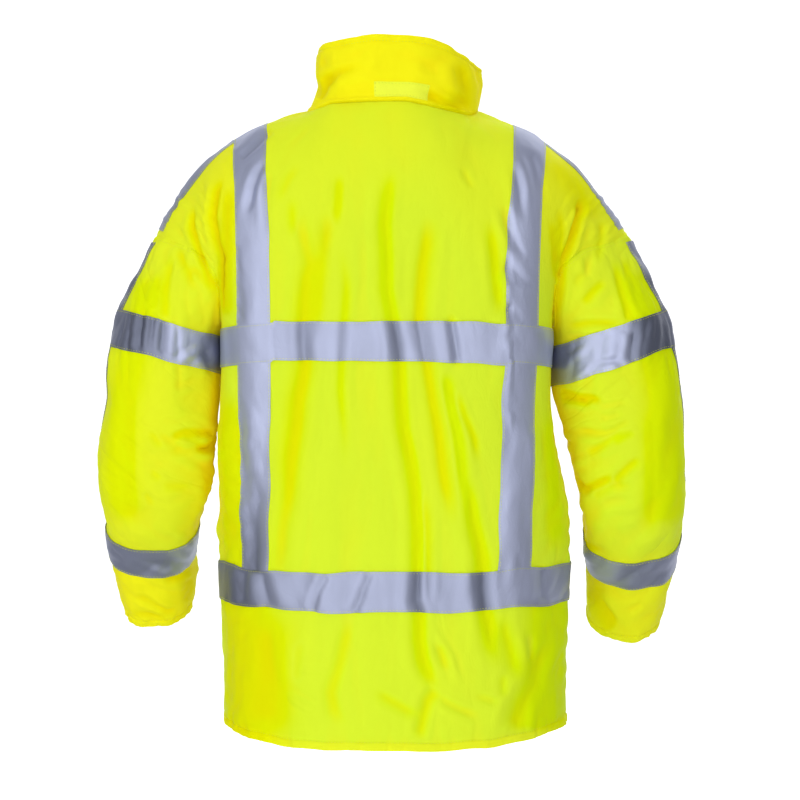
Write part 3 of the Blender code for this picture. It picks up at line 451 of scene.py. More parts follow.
collar = {
    # direction seen from above (0 the wearer's left, 90 the back), then the top edge's point
    "top": (
        (-90.0, 0.000, -0.106, 0.060),
        (-78.0, 0.022, -0.104, 0.061),
        (-45.0, 0.068, -0.080, 0.066),
        (0.0, 0.096, -0.004, 0.0840),
        (32.0, 0.086, 0.046, 0.0850),
        (58.0, 0.052, 0.080, 0.0870),
        (82.0, 0.012, 0.092, 0.0892),
        (92.0, -0.012, 0.092, 0.0880),
        (115.0, -0.054, 0.082, 0.0840),
        (138.0, -0.084, 0.060, 0.0735),
        (162.0, -0.106, 0.028, 0.0630),
        (180.0, -0.117, -0.004, 0.0580),
        (225.0, -0.080, -0.080, 0.058),
        (258.0, -0.022, -0.104, 0.060),
        (270.0, 0.000, -0.106, 0.060),
    ),
    "stops": (0.0, 0.065, 0.30, 0.65, 0.90, 1.0),
    "rows": (4, 8, 10, 8, 7),
    "swell": 0.004,
    "parted": (0.05, 0.03),  # how far from the zip its top edge and its swell are held back
    "waist": 0.0125,  # how far the wearer's left side is drawn in above the seam
    "waistAt": (0.36, 0.34, 0.08),  # middle, spread and start, as parts of the height
    "waistSide": (0.060, 0.095),
}


def collarGrid(seam, angles):
    table = np.array(collar["top"])
    top = smoothCurve(table[:, 0], table[:, 1:], angles)
    edgeReach, swellReach = collar["parted"]
    near = 1 - ease(cloth["frontEdge"], edgeReach, np.abs(seam[:, 0]))
    top[:, 0] += np.sign(seam[:, 0]) * cloth["frontEdge"] * near
    away = np.stack([np.cos(np.radians(angles)), np.sin(np.radians(angles))], axis=1)
    free = ease(cloth["frontEdge"], swellReach, np.abs(seam[:, :1]))
    middle, wide, start = collar["waistAt"]
    rows = []
    for part in spread(collar["stops"], collar["rows"]):
        row = seam * (1 - part) + top * part
        row[:, :2] += away * collar["swell"] * 4 * part * (1 - part) * free
        drawn = collar["waist"] * np.exp(-(((part - middle) / wide) ** 2)) * ease(0.0, start, part)
        row[:, 0] -= drawn * ease(*collar["waistSide"], row[:, 0])
        rows.append(row)
    return np.array(rows)


def gridNormals(grid, closed=False):
    down = np.gradient(grid, axis=0)
    if closed:
        wide = np.concatenate([grid[:, -1:], grid, grid[:, :1]], axis=1)
        across = (wide[:, 2:] - wide[:, :-2]) / 2
    else:
        across = np.gradient(grid, axis=1)
    return unit(np.cross(down, across))


def isTube(name):
    return name.startswith("sleeve")


def borderLines(rows, columns, closed):
    # each edge of a grid as (places on the edge, next places inside)
    across = ((0, 1), (rows - 1, rows - 2))
    upright = () if closed else ((0, 1), (columns - 1, columns - 2))
    lines = [[[(r, c) for c in range(columns)] for r in pair] for pair in across]
    return lines + [[[(r, c) for r in range(rows)] for c in pair] for pair in upright]


def seamKey(point):
    return tuple(np.round(point * 1e5).astype(int))


def findSeams(panels):
    # for each panel: its edge lines and the key of every point on them
    found = {}
    for name, grid in panels.items():
        found[name] = [
            (edge, inside, [seamKey(grid[place]) for place in edge])
            for edge, inside in borderLines(*grid.shape[:2], isTube(name))
        ]
    return found


def seamPoints(seams):
    for name, lines in seams.items():
        for edge, _, keys in lines:
            for place, key in zip(edge, keys):
                yield name, place, key


def sharedNormals(panels, seams):
    # every panel's normals, with one normal for all panels that meet at a seam point
    facings = {name: gridNormals(grid, isTube(name)) for name, grid in panels.items()}
    meeting = {}
    for name, lines in seams.items():
        grid = panels[name]
        for edge, inside, keys in lines:
            along = unit(np.gradient(np.array([grid[p] for p in edge]), axis=0))
            for place, inner, key, run in zip(edge, inside, keys, along):
                owners = meeting.setdefault(key, {})
                entry = owners.setdefault(
                    name, {"inward": np.zeros(3), "normal": facings[name][place], "run": run}
                )
                entry["inward"] = entry["inward"] + unit(grid[inner] - grid[place])
    shared = {}
    for key, owners in meeting.items():
        entries = list(owners.values())
        normal = sum(entry["normal"] for entry in entries)
        for one in entries:
            for other in entries:
                if one is other:
                    continue
                opening = one["inward"] + other["inward"]
                opening = opening - one["run"] * (opening @ one["run"])
                normal = normal + opening * math.copysign(0.5, one["normal"] @ other["inward"])
        shared[key] = unit(normal)
    for name, place, key in seamPoints(seams):
        facings[name][place] = shared[key]
    return facings


def closeSeams(panels, seams):
    # draws the panels that meet at a seam point together, one after another
    meeting = {}
    for name, place, key in seamPoints(seams):
        meeting.setdefault(key, {})[name] = panels[name][place]
    for name, place, key in seamPoints(seams):
        panels[name][place] = sum(meeting[key].values()) / len(meeting[key])


def gridFaces(rows, columns, closed):
    last = columns if closed else columns - 1
    r, c = np.meshgrid(np.arange(rows - 1), np.arange(last), indexing="ij")
    a, b = r * columns + c, r * columns + (c + 1) % columns
    return np.stack([a, a + columns, b + columns, b], axis=-1).reshape(-1, 4)


def everyNth(count, step=2, closed=False):
    chosen = np.arange(0, count, step)
    return chosen if closed else np.unique(np.append(chosen, count - 1))


# Each fold starts with its half width and its depth, where a negative depth is a ridge, and its
# painted shade tint, above 0 a warm shade and below 0 a deeper, greener one; a fold of depth 0
# only paints shade. Then come how much sharper its one side is, and how much of its length it
# fades over at its start and end: the last of these three are left out where they are as in
# foldRest. It ends with its line, as x, z, x, z. Lengths are in millimetres.
foldRest = (0.3, 0.3, 0.3)
foldShape = {
    "lean": 0.6,  # how much a lean narrows one side and widens the other
    "ridge": 0.42,  # height of the low ridge on each side, as a part of the depth
    "ridgeLean": 0.5,
    "ridgeAt": 1.9,  # where it stands, in half widths
    "ridgeWide": 0.85,
    "fall": 1.6,
    "shadeTintWide": 1.1,
    "shadeTintFall": 2.1,
}
backFolds = (
    (8.5, 4.6, 0.2, -0.3, 0.1, 0.15, (112, -135, 115, -164, 110, -186, 104, -211, 109, -230, 111, -255, 110,
      -286, 110, -336, 117, -380, 121, -417, 126, -468, 131, -505, 138, -549, 145, -618)),
    (13, 0, 0.3, 0, 0.25, (110, -174, 105, -211, 110, -255, 111, -336, 119, -380, 124, -430, 129, -492, 136,
      -561)),
    (8, 3, 0.3, 0.3, 0.25, (76, -135, 79, -152, 84, -186, 87, -217, 90, -242, 92, -286, 95, -318)),
    (4.8, 1.8, -0.6, 0.3, 0.3, 0.4, (67, -92, 67, -135, 70, -167)),
    (5, 1.8, -0.45, -0.2, 0.3, 0.4, (64, -180, 59, -236, 61, -286, 64, -367, 61, -417, 61, -474)),
    (5, 1.5, -0.35, 0, 0.4, 0.4, (123, -122, 126, -180)),
    (7.4, 4, -0.75, 0.4, 0.08, 0.06, (0, -83, 1, -103, 5, -135, 7, -161, 5, -205, 5, -242, -3, -282, -9,
      -311, -11, -336, -13, -380, -16, -417, -25, -455, -31, -492, -34, -542, -34, -593, -31, -630, -36,
      -645, -36, -680, -40, -705, -48, -730, -58, -746)),
    (8.4, 4, 0.38, -0.4, 0.1, 0.15, (-46, -148, -44, -161, -41, -186, -36, -211, -34, -242, -33, -286, -37,
      -311, -43, -336, -49, -380, -56, -417, -62, -461, -70, -505, -76, -542)),
    (5, 3, -0.3, 0.3, 0.2, 0.2, (-71, -270, -84, -338)),
    (6.2, 3.6, -0.6, -0.3, 0.15, (-66, -340, -72, -380, -79, -417, -86, -468, -90, -511)),
    (8.6, 4.2, -0.7, 0.3, 0.2, 0.25, (-90, -468, -95, -492, -102, -530, -113, -580, -117, -618, -120, -649,
      -126, -686, -138, -724)),
    (4.8, 2.4, 0.4, (-80, -361, -91, -399, -102, -430, -107, -461)),
    (4.6, 2, 0.35, -0.4, 0.3, 0.2, (-40, -486, -43, -542, -45, -586, -45, -636)),
    (4.6, 1.6, -0.2, 0.3, 0.3, 0.4, (116, -83, 129, -103, 143, -135)),
    (4.6, 1.4, 0, 0.3, 0.3, 0.4, (102, -26, 120, -46, 132, -63)),
    (4.6, 1.8, -0.06, (-94, -83, -97, -97, -104, -112)),
    (7, 2.6, -0.45, 0.2, (-123, -148, -131, -205, -135, -280)),
    (6.5, 2.8, -0.25, 0.3, 0.2, 0.2, (50, -652, 55, -674, 61, -693, 68, -724, 75, -749, 72, -770, 59,
      -789)),
    (6.5, 3.2, -0.3, 0.3, 0.15, 0.2, (-58, -743, -45, -759, -40, -780, -34, -807)),
    (4.6, 2.6, -0.1, 0.3, 0.2, (-55, -750, -85, -769, -110, -782)),
    (4.6, 1.8, -0.1, (-101, -751, -135, -764)),
    (5, 1.8, -0.2, 0.2, 0.3, 0.4, (-138, -724, -139, -761)),
    (5, 2.2, 0.2, (-174, -674, -179, -715)),
    (12, 5, -0.3, 0.5, 0.3, 0.15, (-198, -680, -185, -743, -168, -770, -155, -807)),
    (5, -2.4, 0, -0.3, (136, -746, 120, -760, 90, -776)),
    (4.6, -1.4, 0, 0, (115, -721, 77, -720)),
    (8, 2, 0, 0, (163, -661, 155, -755)),
    (6, 2.4, -0.2, (-60, -680, -69, -720)),
    (5, -1.8, 0, (-48, -657, -75, -699, -84, -743)),
    (9, 3, -0.3, (-133, -645, -150, -693, -160, -743)),
    (8, 1.6, -0.2, (115, -680, 120, -743)),
    (6, 2.2, -0.25, (25, -743, -22, -770, -41, -775)),
    (44, 0, 0.62, 0, 0.5, 0.03, (205, -480, 200, -630, 198, -830)),
    (22, 0, 0.4, 0, 0.3, 0.2, (155, -645, 152, -805)),
    (28, 0, -0.6, 0, 0.1, 0.1, (-205, -630, -198, -811)),
    (14, 0, 0.45, 0, 0.2, 0.2, (209, -361, 203, -586)),
    (12, 0, -0.4, 0, 0.2, 0.2, (-205, -380, -212, -586)),
    (16, 0, 0.35, 0, 0.2, 0.2, (-213, -63, -261, -148)),
    (4.8, 2.8, 0, 0.3, 0.1, 0.1, (26, -596, 34, -618, 44, -646)),
    (5, 2.4, 0, 0.3, 0.1, 0.1, (77, -596, 90, -618, 100, -646)),
    (9, 3.2, 0.1, 0, 0.15, 0.15, (163, -593, 155, -646)),
    (6, 2.8, 0, 0, 0.15, 0.15, (190, -593, 190, -642)),
    (9, 3, -0.2, 0, 0.15, 0.15, (-193, -588, -191, -637)),
    (6, 2.8, 0.2, 0, 0.15, 0.15, (205, -282, 200, -338)),
    (6, 2.8, 0.2, 0, 0.15, 0.15, (-186, -290, -193, -340)),
    (6.5, 2.4, 0, 0.4, 0.15, (-150, -284, -168, -318, -179, -349, -182, -386, -182, -436)),
    (7, 1, 0, -0.3, 0.1, 0.1, (195, -345, 194, -443, 186, -530, 179, -595)),
    (9, 2.8, 0.5, 0, 0.4, 0.05, (175, -463, 171, -505, 174, -600)),
    (6, 3.6, 0, 0.4, 0.1, 0.15, (156, -29, 173, -50, 196, -73)),
    (5, 3.2, 0, 0.3, 0.2, 0.35, (161, -72, 176, -109, 187, -154)),
    (6, 3, 0, -0.3, 0.3, 0.4, (155, -83, 159, -129, 161, -182)),
    (6, 3.2, 0.1, -0.4, 0.15, 0.1, (201, -177, 194, -203, 191, -255, 191, -285)),
    (5.5, 3, 0, (-154, -73, -162, -116, -167, -160)),
    (8, 3.2, 0, 0.3, 0.15, (-175, -59, -187, -96, -198, -138)),
    (5.6, 4, 0, 0.4, 0.25, 0.25, (-143, -129, -149, -161, -158, -186, -169, -204)),
    (8, 3.8, 0, 0.4, 0.15, 0.15, (-144, -207, -163, -226, -186, -239)),
    (7.5, 3.4, 0, 0.3, 0.2, 0.2, (-145, -258, -165, -282)),
)

# folds that run over the armhole seams
shoulderFolds = {
    "left": (
        (4.6, 5.4, 0.85, 0.4, 0.12, 0.1, (217, -93, 224, -113, 228, -145, 223, -174, 215, -199, 217, -239,
          219, -275)),
        (4.2, 3.8, 0.7, 0.3, 0.2, 0.1, (260, -126, 258, -158, 250, -185, 241, -205, 233, -223, 219, -239)),
        (7, 0, 0.62, 0, 0.2, 0.1, (208, -101, 210, -189, 210, -277)),
        (4.4, 2.4, 0.3, 0.3, 0.2, 0.4, (279, -180, 270, -199, 261, -217, 253, -242)),
        (4.4, 2.6, 0.2, -0.3, 0.2, (262, -204, 249, -217, 235, -233, 225, -252)),
        (6, 2.6, -0.3, 0.5, 0.3, 0.1, (285, -183, 289, -233, 291, -277)),
        (4.6, 1.6, -0.2, 0.3, 0.3, 0.2, (300, -209, 308, -265)),
    ),
    "right": (
        (4.8, 6, 0.76, -0.3, 0.1, 0.1, (-246, -116, -239, -142, -229, -176, -221, -193, -216, -214, -212,
          -239, -208, -271, -206, -313)),
        (4.6, 2.4, 0.35, 0.3, 0.3, 0.2, (-213, -130, -216, -170, -211, -211)),
        (5, 2.6, 0.5, -0.3, 0.3, 0.1, (-202, -145, -206, -189, -210, -227)),
        (4.8, 3, -0.2, 0.3, 0.2, (-272, -142, -273, -161, -269, -183, -262, -206)),
        (4.6, 2.8, 0, (-263, -170, -253, -204, -243, -228)),
        (4.6, 2, 0.1, (-230, -234, -245, -214)),
        (4.6, 2.8, -0.4, 0.3, 0.2, (-241, -257, -253, -242, -273, -223)),
        (6, 2.6, -0.4, -0.5, 0.3, 0.1, (-285, -191, -293, -239, -302, -280)),
        (4.8, 2.2, -0.4, -0.3, 0.2, 0.2, (-299, -191, -309, -233, -320, -275)),
    ),
}

frontFolds = (
    (12, 2.2, -0.3, 0.3, 0.5, 0.5, (70, -110, 74, -200)),
    (17, 5.6, 0.5, -0.2, 0.15, 0.25, (112, -150, 102, -215, 108, -290, 118, -399, 136, -520, 144, -620, 150,
      -760)),
    (12, 3, -0.4, 0.4, 0.4, 0.4, (40, -240, 46, -340, 58, -460)),
    (15, 3.6, -0.3, (30, -520, 52, -660, 66, -760)),
    (13, 4.2, 0.5, -0.4, 0.25, (-60, -170, -48, -284, -62, -400, -80, -510)),
    (14, 4, -0.5, (-94, -420, -112, -560, -120, -700)),
    (15, 3.6, 0.2, (-180, -720, -140, -780)),
    (12, 2.6, 0.2, 0, 0.4, 0.4, (-100, -120, -120, -200)),
    (11, 7, 0.9, 0.3, 0.25, 0.15, (220, -120, 219, -200, 212, -280)),
    (11, 7, 0.9, -0.3, 0.25, 0.15, (-228, -150, -214, -210, -202, -280)),
)

sleeveFolds = {
    "left": (
        (4.4, 2, 0, 0.3, 0.1, 0.1, (323, -267, 325, -316)),
        (4.4, 2, 0, -0.3, 0.1, 0.1, (310, -274, 314, -318)),
        (6, 3, 0, -0.4, 0.1, 0.1, (296, -277, 300, -321)),
        (4.8, -2.2, 0, 0, 0.2, (281, -336, 262, -323, 242, -307)),
        (6, 3, 0, 0.3, 0.2, 0.1, (242, -313, 227, -346)),
        (8, 2, -0.35, 0.5, (336, -348, 340, -419, 340, -483, 339, -550)),
        (20, 0, -0.45, 0, 0.1, 0.1, (314, -204, 326, -290, 348, -380, 354, -470, 348, -550)),
        (5, 4, 0.9, 0.2, 0.1, 0.1, (225, -344, 224, -380, 227, -413)),
        (4.6, 3.6, 0.5, 0.4, 0.2, 0.05, (286, -428, 267, -423, 236, -424)),
        (4.4, 2.8, 0.1, 0.3, 0.3, 0.2, (302, -423, 284, -434, 268, -447)),
        (4.4, 2.4, -0.2, (313, -420, 303, -433, 295, -442)),
        (4.4, 2, 0.2, -0.3, (271, -428, 248, -442)),
        (4.8, 4.4, 0.66, 0.3, 0.05, (231, -429, 240, -445, 257, -448)),
        (4.8, 2.6, 0.1, -0.3, 0.3, 0.1, (295, -447, 267, -450, 237, -446)),
        (4.4, 1.8, 0, (310, -465, 289, -463)),
        (4.4, 1.8, -0.2, (312, -473, 298, -482)),
        (5, 2.2, -0.2, (300, -490, 261, -492)),
        (4.6, 1.8, 0.2, (322, -496, 311, -519)),
        (4.6, 1.8, 0, 0.3, 0.3, 0.2, (293, -509, 255, -496)),
        (4.8, 1.8, 0, (286, -362, 247, -357)),
        (4.8, 1.6, 0, (295, -403, 263, -410)),
        (7, 2.6, 0.6, 0, 0.3, 0.1, (234, -470, 240, -509, 252, -550)),
        (4.8, 2.8, 0.15, 0.3, 0.2, 0.2, (344, -639, 324, -650, 304, -665, 288, -663)),
        (4.8, 2.6, 0.4, 0.3, 0.1, 0.4, (265, -609, 281, -615, 308, -620)),
        (4.6, 2, 0.2, 0.3, 0.2, (355, -665, 326, -671, 299, -677)),
        (7, 2.6, 0.5, 0, 0.3, 0.1, (271, -619, 275, -655)),
    ),
    "right": (
        (4.6, -2.2, 0, 0, 0.2, (-220, -346, -232, -326, -257, -309)),
        (4.4, -2.4, 0, 0.2, 0.2, (-232, -355, -255, -339, -296, -330)),
        (4.6, 3, 0, 0.2, 0.2, (-250, -344, -273, -332, -296, -325)),
        (6, 3, 0, 0.4, 0.15, 0.1, (-310, -293, -307, -331)),
        (5, 3, 0.1, 0, 0.15, 0.1, (-210, -326, -214, -362)),
        (4.6, 2.6, -0.3, 0.3, 0.2, (-224, -284, -254, -280, -295, -280)),
        (4.4, 1.8, 0, (-225, -299, -247, -294)),
        (4.6, 4, 0.62, 0.3, 0.02, (-219, -368, -242, -375, -272, -377)),
        (4.4, 2.8, 0.6, 0.3, 0.05, (-220, -377, -258, -384)),
        (4.6, 2.2, 0, 0.3, 0.2, (-265, -386, -304, -379)),
        (4.6, 2.6, 0, 0.3, 0.2, (-266, -401, -299, -394)),
        (5, 3.4, 0.1, 0.3, 0.2, (-236, -420, -276, -420, -312, -402)),
        (4.6, 3.6, -0.3, 0.3, 0.1, (-250, -450, -276, -432, -304, -416)),
        (4.4, 2.6, -0.3, -0.3, 0.2, (-284, -438, -312, -420)),
        (4.4, 2, 0, 0.3, 0.2, (-253, -461, -271, -451)),
        (4.6, 3.8, -0.4, 0.4, 0.1, (-285, -487, -302, -470, -319, -454)),
        (4.8, 4.4, 0.64, 0.3, 0.02, (-239, -488, -251, -496, -269, -486, -288, -477)),
        (4.6, 3.2, -0.2, 0.3, 0.1, (-260, -505, -282, -494, -310, -490)),
        (5, 2, 0, 0.3, 0.2, (-269, -513, -310, -512)),
        (4.6, 1.6, 0, (-286, -534, -322, -528)),
        (4.8, 2.6, 0.4, 0.3, 0.1, (-244, -561, -274, -580)),
        (9, 1.8, -0.5, 0.5, (-332, -380, -336, -470, -339, -564)),
        (22, 0, -0.85, 0, 0.1, 0.1, (-319, -204, -339, -290, -355, -380, -364, -470, -358, -550)),
        (8, 2.2, 0.5, 0, 0.3, 0.1, (-260, -612, -275, -655, -298, -694)),
        (4.6, 2.6, 0.2, 0.3, 0.2, 0.2, (-278, -645, -303, -684)),
        (4.6, 2, 0, (-313, -662, -335, -653)),
    ),
}

collarFolds = (
    (5.5, 3.6, 0.2, 0.5, 0.1, 0.45, (94, 36, 78, 42, 34, 50)),
    (7.5, 5, 0.6, -0.4, 0.1, 0.4, (96, 14, 84, 30, 70, 36)),
    (6.5, 5.2, 0.4, 0.5, 0.35, 0.1, (-38, 17.5, -70, 8, -92, 4)),
    (6, 3, 0.2, 0.4, 0.4, 0.2, (-56, 24, -86, 15, -104, 12)),
    (8, 3.6, 0.5, 0.5, 0.3, 0.2, (-88, 60, -97, 30, -96, 6)),
    (7, 1.6, 0, 0.3, 0.4, 0.4, (60, 64, 20, 70)),
    (8, 1.8, 0, 0.3, 0.4, 0.4, (-20, 60, -62, 48)),
)


def foldField(points, folds):
    # how far the folds push each point in, and how much painted shade they put in its colour, warm above 0
    # and deeper below 0
    flat = points[..., (0, 2)]
    total, colour = np.zeros(flat.shape[:-1]), np.zeros(flat.shape[:-1])
    shape = foldShape
    for fold in folds:
        reach, deep, shadeTint, lean, fadeIn, fadeOut = fold[:-1] + foldRest[len(fold) - 4 :]
        line, reach, deep = np.reshape(fold[-1], (-1, 2)) / 1000, reach / 1000, deep / 1000
        steps = np.linalg.norm(np.diff(line, axis=0), axis=1)
        starts = np.concatenate([[0.0], np.cumsum(steps)])
        best = np.full(total.shape, np.inf)
        across, along = np.zeros(total.shape), np.zeros(total.shape)
        for a, b, start, step in zip(line[:-1], line[1:], starts, steps):
            run = (b - a) / step
            there = np.clip((flat - a) @ run, 0.0, step)
            off = flat - a - there[..., None] * run
            distance = np.linalg.norm(off, axis=-1)
            near = distance < best
            best = np.where(near, distance, best)
            across = np.where(near, off @ np.array([run[1], -run[0]]), across)
            along = np.where(near, (start + there) / starts[-1], along)
        leaning = np.where(across > 0, -lean, lean)
        place = best / (reach * (1 + shape["lean"] * leaning))
        heave = shape["ridge"] + shape["ridgeLean"] * leaning
        fade = ease(0.0, fadeIn, along + 1e-6) * ease(0.0, fadeOut, 1 - along + 1e-6)
        trough = np.exp(-(np.abs(place) ** shape["fall"]))
        ridge = np.exp(-(((place - shape["ridgeAt"]) / shape["ridgeWide"]) ** 2))
        total += deep * fade * (trough - heave * ridge)
        colour += shadeTint * fade * np.exp(-((np.abs(place) / shape["shadeTintWide"]) ** shape["shadeTintFall"]))
    return total, colour


def waves(points, seed, count, sizes, depth):
    # soft irregular waves: sizes are the wave lengths along x, y and z
    dice = np.random.default_rng(seed)
    turn = dice.normal(size=(count, 3)) * 2 * math.pi / np.array(sizes)
    shift = dice.uniform(0, 2 * math.pi, count)
    total = np.zeros(points.shape[:-1])
    for k in range(count):
        total += np.cos(points @ turn[k] + shift[k])
    return total * depth * math.sqrt(2.0 / count) / 1.4


def puckers(points, seed, count, sizes, depth):
    # rounded puffs with narrow valleys between them
    total = waves(points, seed, count, sizes, 1.0)
    return depth * (np.sqrt(total**2 + 0.01) - 0.55)


def slanted(points, angle):
    # the points turned in the x-z plane, so that waves run at a slant
    turn = math.radians(angle)
    x, z = points[..., 0], points[..., 2]
    return np.stack(
        [x * math.cos(turn) + z * math.sin(turn), points[..., 1],
         z * math.cos(turn) - x * math.sin(turn)], axis=-1
    )


press = {
    "gap": (0.006, 0.022),  # how near sleeve and body lie where they press fully, and not at all
    "outside": 0.15,
    "heights": (-0.43, -0.4),
    "give": 0.4,
}
hemFinish = {
    "line": 0.0108,  # of stitches, above the edge
    "lineDeep": 0.001,
    "lineWide": 0.0016,
    "turned": 0.0008,  # how much thicker the turned cloth is
    "turnedEnd": (0.009, 0.0105),
}


def sidePress(points):
    # 1 where the sleeves lie against the body, 0 a little way off
    flat = points.reshape(-1, 3)
    gap = np.empty(len(flat))
    for name, sign in sides.items():
        mine = flat[:, 0] * sign > 0
        there = flat[mine] * [sign, 1.0, 1.0]
        gap[mine] = np.abs(there[:, 0] - bodyHalfWidth(there, name))
    near = 1 - ease(*press["gap"], gap.reshape(points.shape[:-1]))
    outside = np.abs(points[..., 0]) > press["outside"]
    return near * outside * ease(*press["heights"], points[..., 2])


def hemEdge(distance):
    # the turned hem is thicker up to its stitch line, which draws the cloth in
    turned = hemFinish["turned"] * (1 - ease(*hemFinish["turnedEnd"], distance))
    line = hemFinish["lineDeep"] * np.exp(-(((distance - hemFinish["line"]) / hemFinish["lineWide"]) ** 2))
    return (turned - line)[:, None]


def pressedFlat(lift, grid):
    # where sleeve and body lie on each other the cloth only bends away from the gap
    pressed = sidePress(grid)
    return lift * (1 - pressed) - np.maximum(-lift, 0) * press["give"] * pressed


def facedFolds(grid, normals, facing, backTable, frontGrid, frontTable, frontPart=1.0):
    # the folds' depth and painted shade tint, with the back's and the front's each on their own side
    rear, ahead = (ease(*facing, sign * normals[..., 1]) for sign in (1, -1))
    both = zip(foldField(grid, backTable), foldField(frontGrid, frontTable))
    return (back * rear + frontPart * front * ahead for back, front in both)


# waves and puckers: seed, how many, wave lengths along x, y and z, depth
bodyCreases = {
    "facing": (0.05, 0.4),  # how far the cloth turns to the back or front where the folds are full
    "upper": (-0.26, -0.1),  # heights between which the cloth grows smoother
    "drape": (11, 26, (0.12, 0.12, 0.5), 0.0016),
    "puffs": (14, 24, (0.15, 0.15, 0.6), 0.0016),
    "upperCalm": (0.4, 0.6),  # how much of the drape and of the puffs goes there
    "fine": (12, 30, (0.034, 0.034, 0.11), 0.00026),
    "pulls": (15, 20, (0.16, 0.16, 0.026), 0.0019),  # slanted lines at the underarms
    "pullAngles": {"left": 50.0, "right": -42.0},
    "pullOut": (0.165, 0.21),
    "pullHeights": ((-0.31, -0.27), (-0.08, -0.13)),
    "waist": (16, 20, (0.16, 0.1, 0.06), 0.0016),
    "waistAngle": -25.0,
    "waistOut": (0.15, 0.21),
    "waistHeights": (-0.34, -0.4),
    "hem": (13, 24, (0.018, 0.018, 0.09), 0.0007),
    "hemReach": 0.02,
}


def creaseBody(grid, normals, rise):
    # rise is the height of each row above the hem's edge, along the cloth
    crease = bodyCreases
    x, z = grid[..., 0], grid[..., 2]
    backTable = backFolds + shoulderFolds["left"] + shoulderFolds["right"]
    deep, shadeTint = facedFolds(grid, normals, crease["facing"], backTable, grid, frontFolds)
    upper = ease(*crease["upper"], z)
    drapeCalm, puffCalm = crease["upperCalm"]
    soft = waves(grid, *crease["drape"]) * (1 - drapeCalm * upper)
    soft += puckers(grid, *crease["puffs"]) * (1 - puffCalm * upper)
    soft += waves(grid, *crease["fine"])
    below, above = crease["pullHeights"]
    for side, angle in crease["pullAngles"].items():
        there = ease(*crease["pullOut"], x * sides[side]) * ease(*below, z) * ease(*above, z)
        soft += puckers(slanted(grid, angle), *crease["pulls"]) * there
    there = ease(*crease["waistOut"], np.abs(x)) * ease(*crease["waistHeights"], z)
    soft += puckers(slanted(grid, crease["waistAngle"]), *crease["waist"]) * there
    low = np.exp(-((rise / crease["hemReach"]) ** 2))[:, None]
    soft += waves(grid, *crease["hem"]) * low
    return pressedFlat(soft - deep + hemEdge(rise), grid), shadeTint


# the seeds are counted on from the sleeve's own
sleeveCreases = {
    "seeds": {"left": 21, "right": 31},
    "facing": (-0.05, 0.3),
    "frontPart": 0.8,  # the front has the back's folds, a little softer and moved out and up
    "frontMove": (0.006, 0.0, 0.013),
    "angle": 30.0,
    "drape": (0, 26, (0.1, 0.1, 0.14), 0.0014),
    "fine": (1, 30, (0.04, 0.04, 0.034), 0.0003),
    "elbow": (2, 22, (0.24, 0.14, 0.042), 0.0018),
    "elbowAt": (-0.48, 0.085),
    "elbowInner": (0.45, 0.9),  # everywhere, and more towards the inside
    "forearm": (5, 22, (0.18, 0.12, 0.06), 0.0013),
    "forearmHeights": (-0.52, -0.56),
    "bend": (3, 22, (0.2, 0.16, 0.036), 0.0022),  # across the inside of the bent elbow
    "cap": (6, 22, (0.032, 0.032, 0.2), 0.0013),
    "capReach": 0.045,
    "upper": (7, 22, (0.05, 0.05, 0.26), 0.0016),
    "upperHeights": (-0.4, -0.34),
    "cuff": (4, 24, (0.018, 0.018, 0.07), 0.0008),
    "cuffReach": 0.02,
}


def creaseSleeve(grid, normals, side, toCuff, fromTop):
    crease = sleeveCreases
    z, outwards, ahead = grid[..., 2], normals[..., 0] * sides[side], -normals[..., 1]
    table = shoulderFolds[side] + sleeveFolds[side]
    moved = grid + np.array(crease["frontMove"]) * [sides[side], 1.0, 1.0]
    deep, shadeTint = facedFolds(grid, normals, crease["facing"], table, moved, table, crease["frontPart"])
    tilted = slanted(grid, crease["angle"] * sides[side])

    def ripple(make, points, name):
        step, *sizes = crease[name]
        return make(points, crease["seeds"][side] + step, *sizes)

    middle, reach = crease["elbowAt"]
    everywhere, inner = crease["elbowInner"]
    elbow = np.exp(-(((z - middle) / reach) ** 2))
    soft = ripple(waves, grid, "drape") + ripple(waves, grid, "fine")
    soft += ripple(puckers, tilted, "elbow") * elbow * (everywhere + inner * ease(0.0, 0.9, -outwards))
    soft += ripple(puckers, tilted, "forearm") * ease(*crease["forearmHeights"], z)
    soft += ripple(puckers, tilted, "bend") * elbow * ease(0.1, 0.8, ahead)
    soft += ripple(puckers, grid, "cap") * np.exp(-((fromTop / crease["capReach"]) ** 2))[:, None]
    soft += ripple(puckers, grid, "upper") * ease(*crease["upperHeights"], z)
    soft += ripple(waves, grid, "cuff") * np.exp(-((toCuff / crease["cuffReach"]) ** 2))[:, None]
    return pressedFlat(soft - deep + hemEdge(toCuff), grid), shadeTint


collarCreases = {
    "facing": (-0.1, 0.3),
    "drape": (41, 24, (0.06, 0.06, 0.05), 0.0011),
    "fine": (42, 24, (0.024, 0.024, 0.02), 0.00035),
    "calm": 0.01,  # no waves at the seam, full ones this far above it
    "stitchLine": (0.009, 0.0018, 0.0011),  # below the top edge: where, how wide, how deep
    "topEdge": (0.003, 0.0012),
    "seam": (0.003, 0.0016),
}


def creaseCollar(grid, normals, rise, high):
    crease = collarCreases
    rear = ease(*crease["facing"], normals[..., 1])
    deep, shadeTint = foldField(grid, collarFolds)
    soft = waves(grid, *crease["drape"]) + waves(grid, *crease["fine"])
    fromTop = high - rise
    at, wide, lineDeep = crease["stitchLine"]
    (topReach, topDeep), (seamReach, seamDeep) = crease["topEdge"], crease["seam"]
    edge = -lineDeep * np.exp(-(((fromTop - at) / wide) ** 2))
    edge = edge - topDeep * (1 - ease(0.0, topReach, fromTop))
    edge = edge - seamDeep * np.exp(-((rise / seamReach) ** 2))
    return (soft - deep * rear) * ease(0.0, crease["calm"], rise) + edge, shadeTint * rear


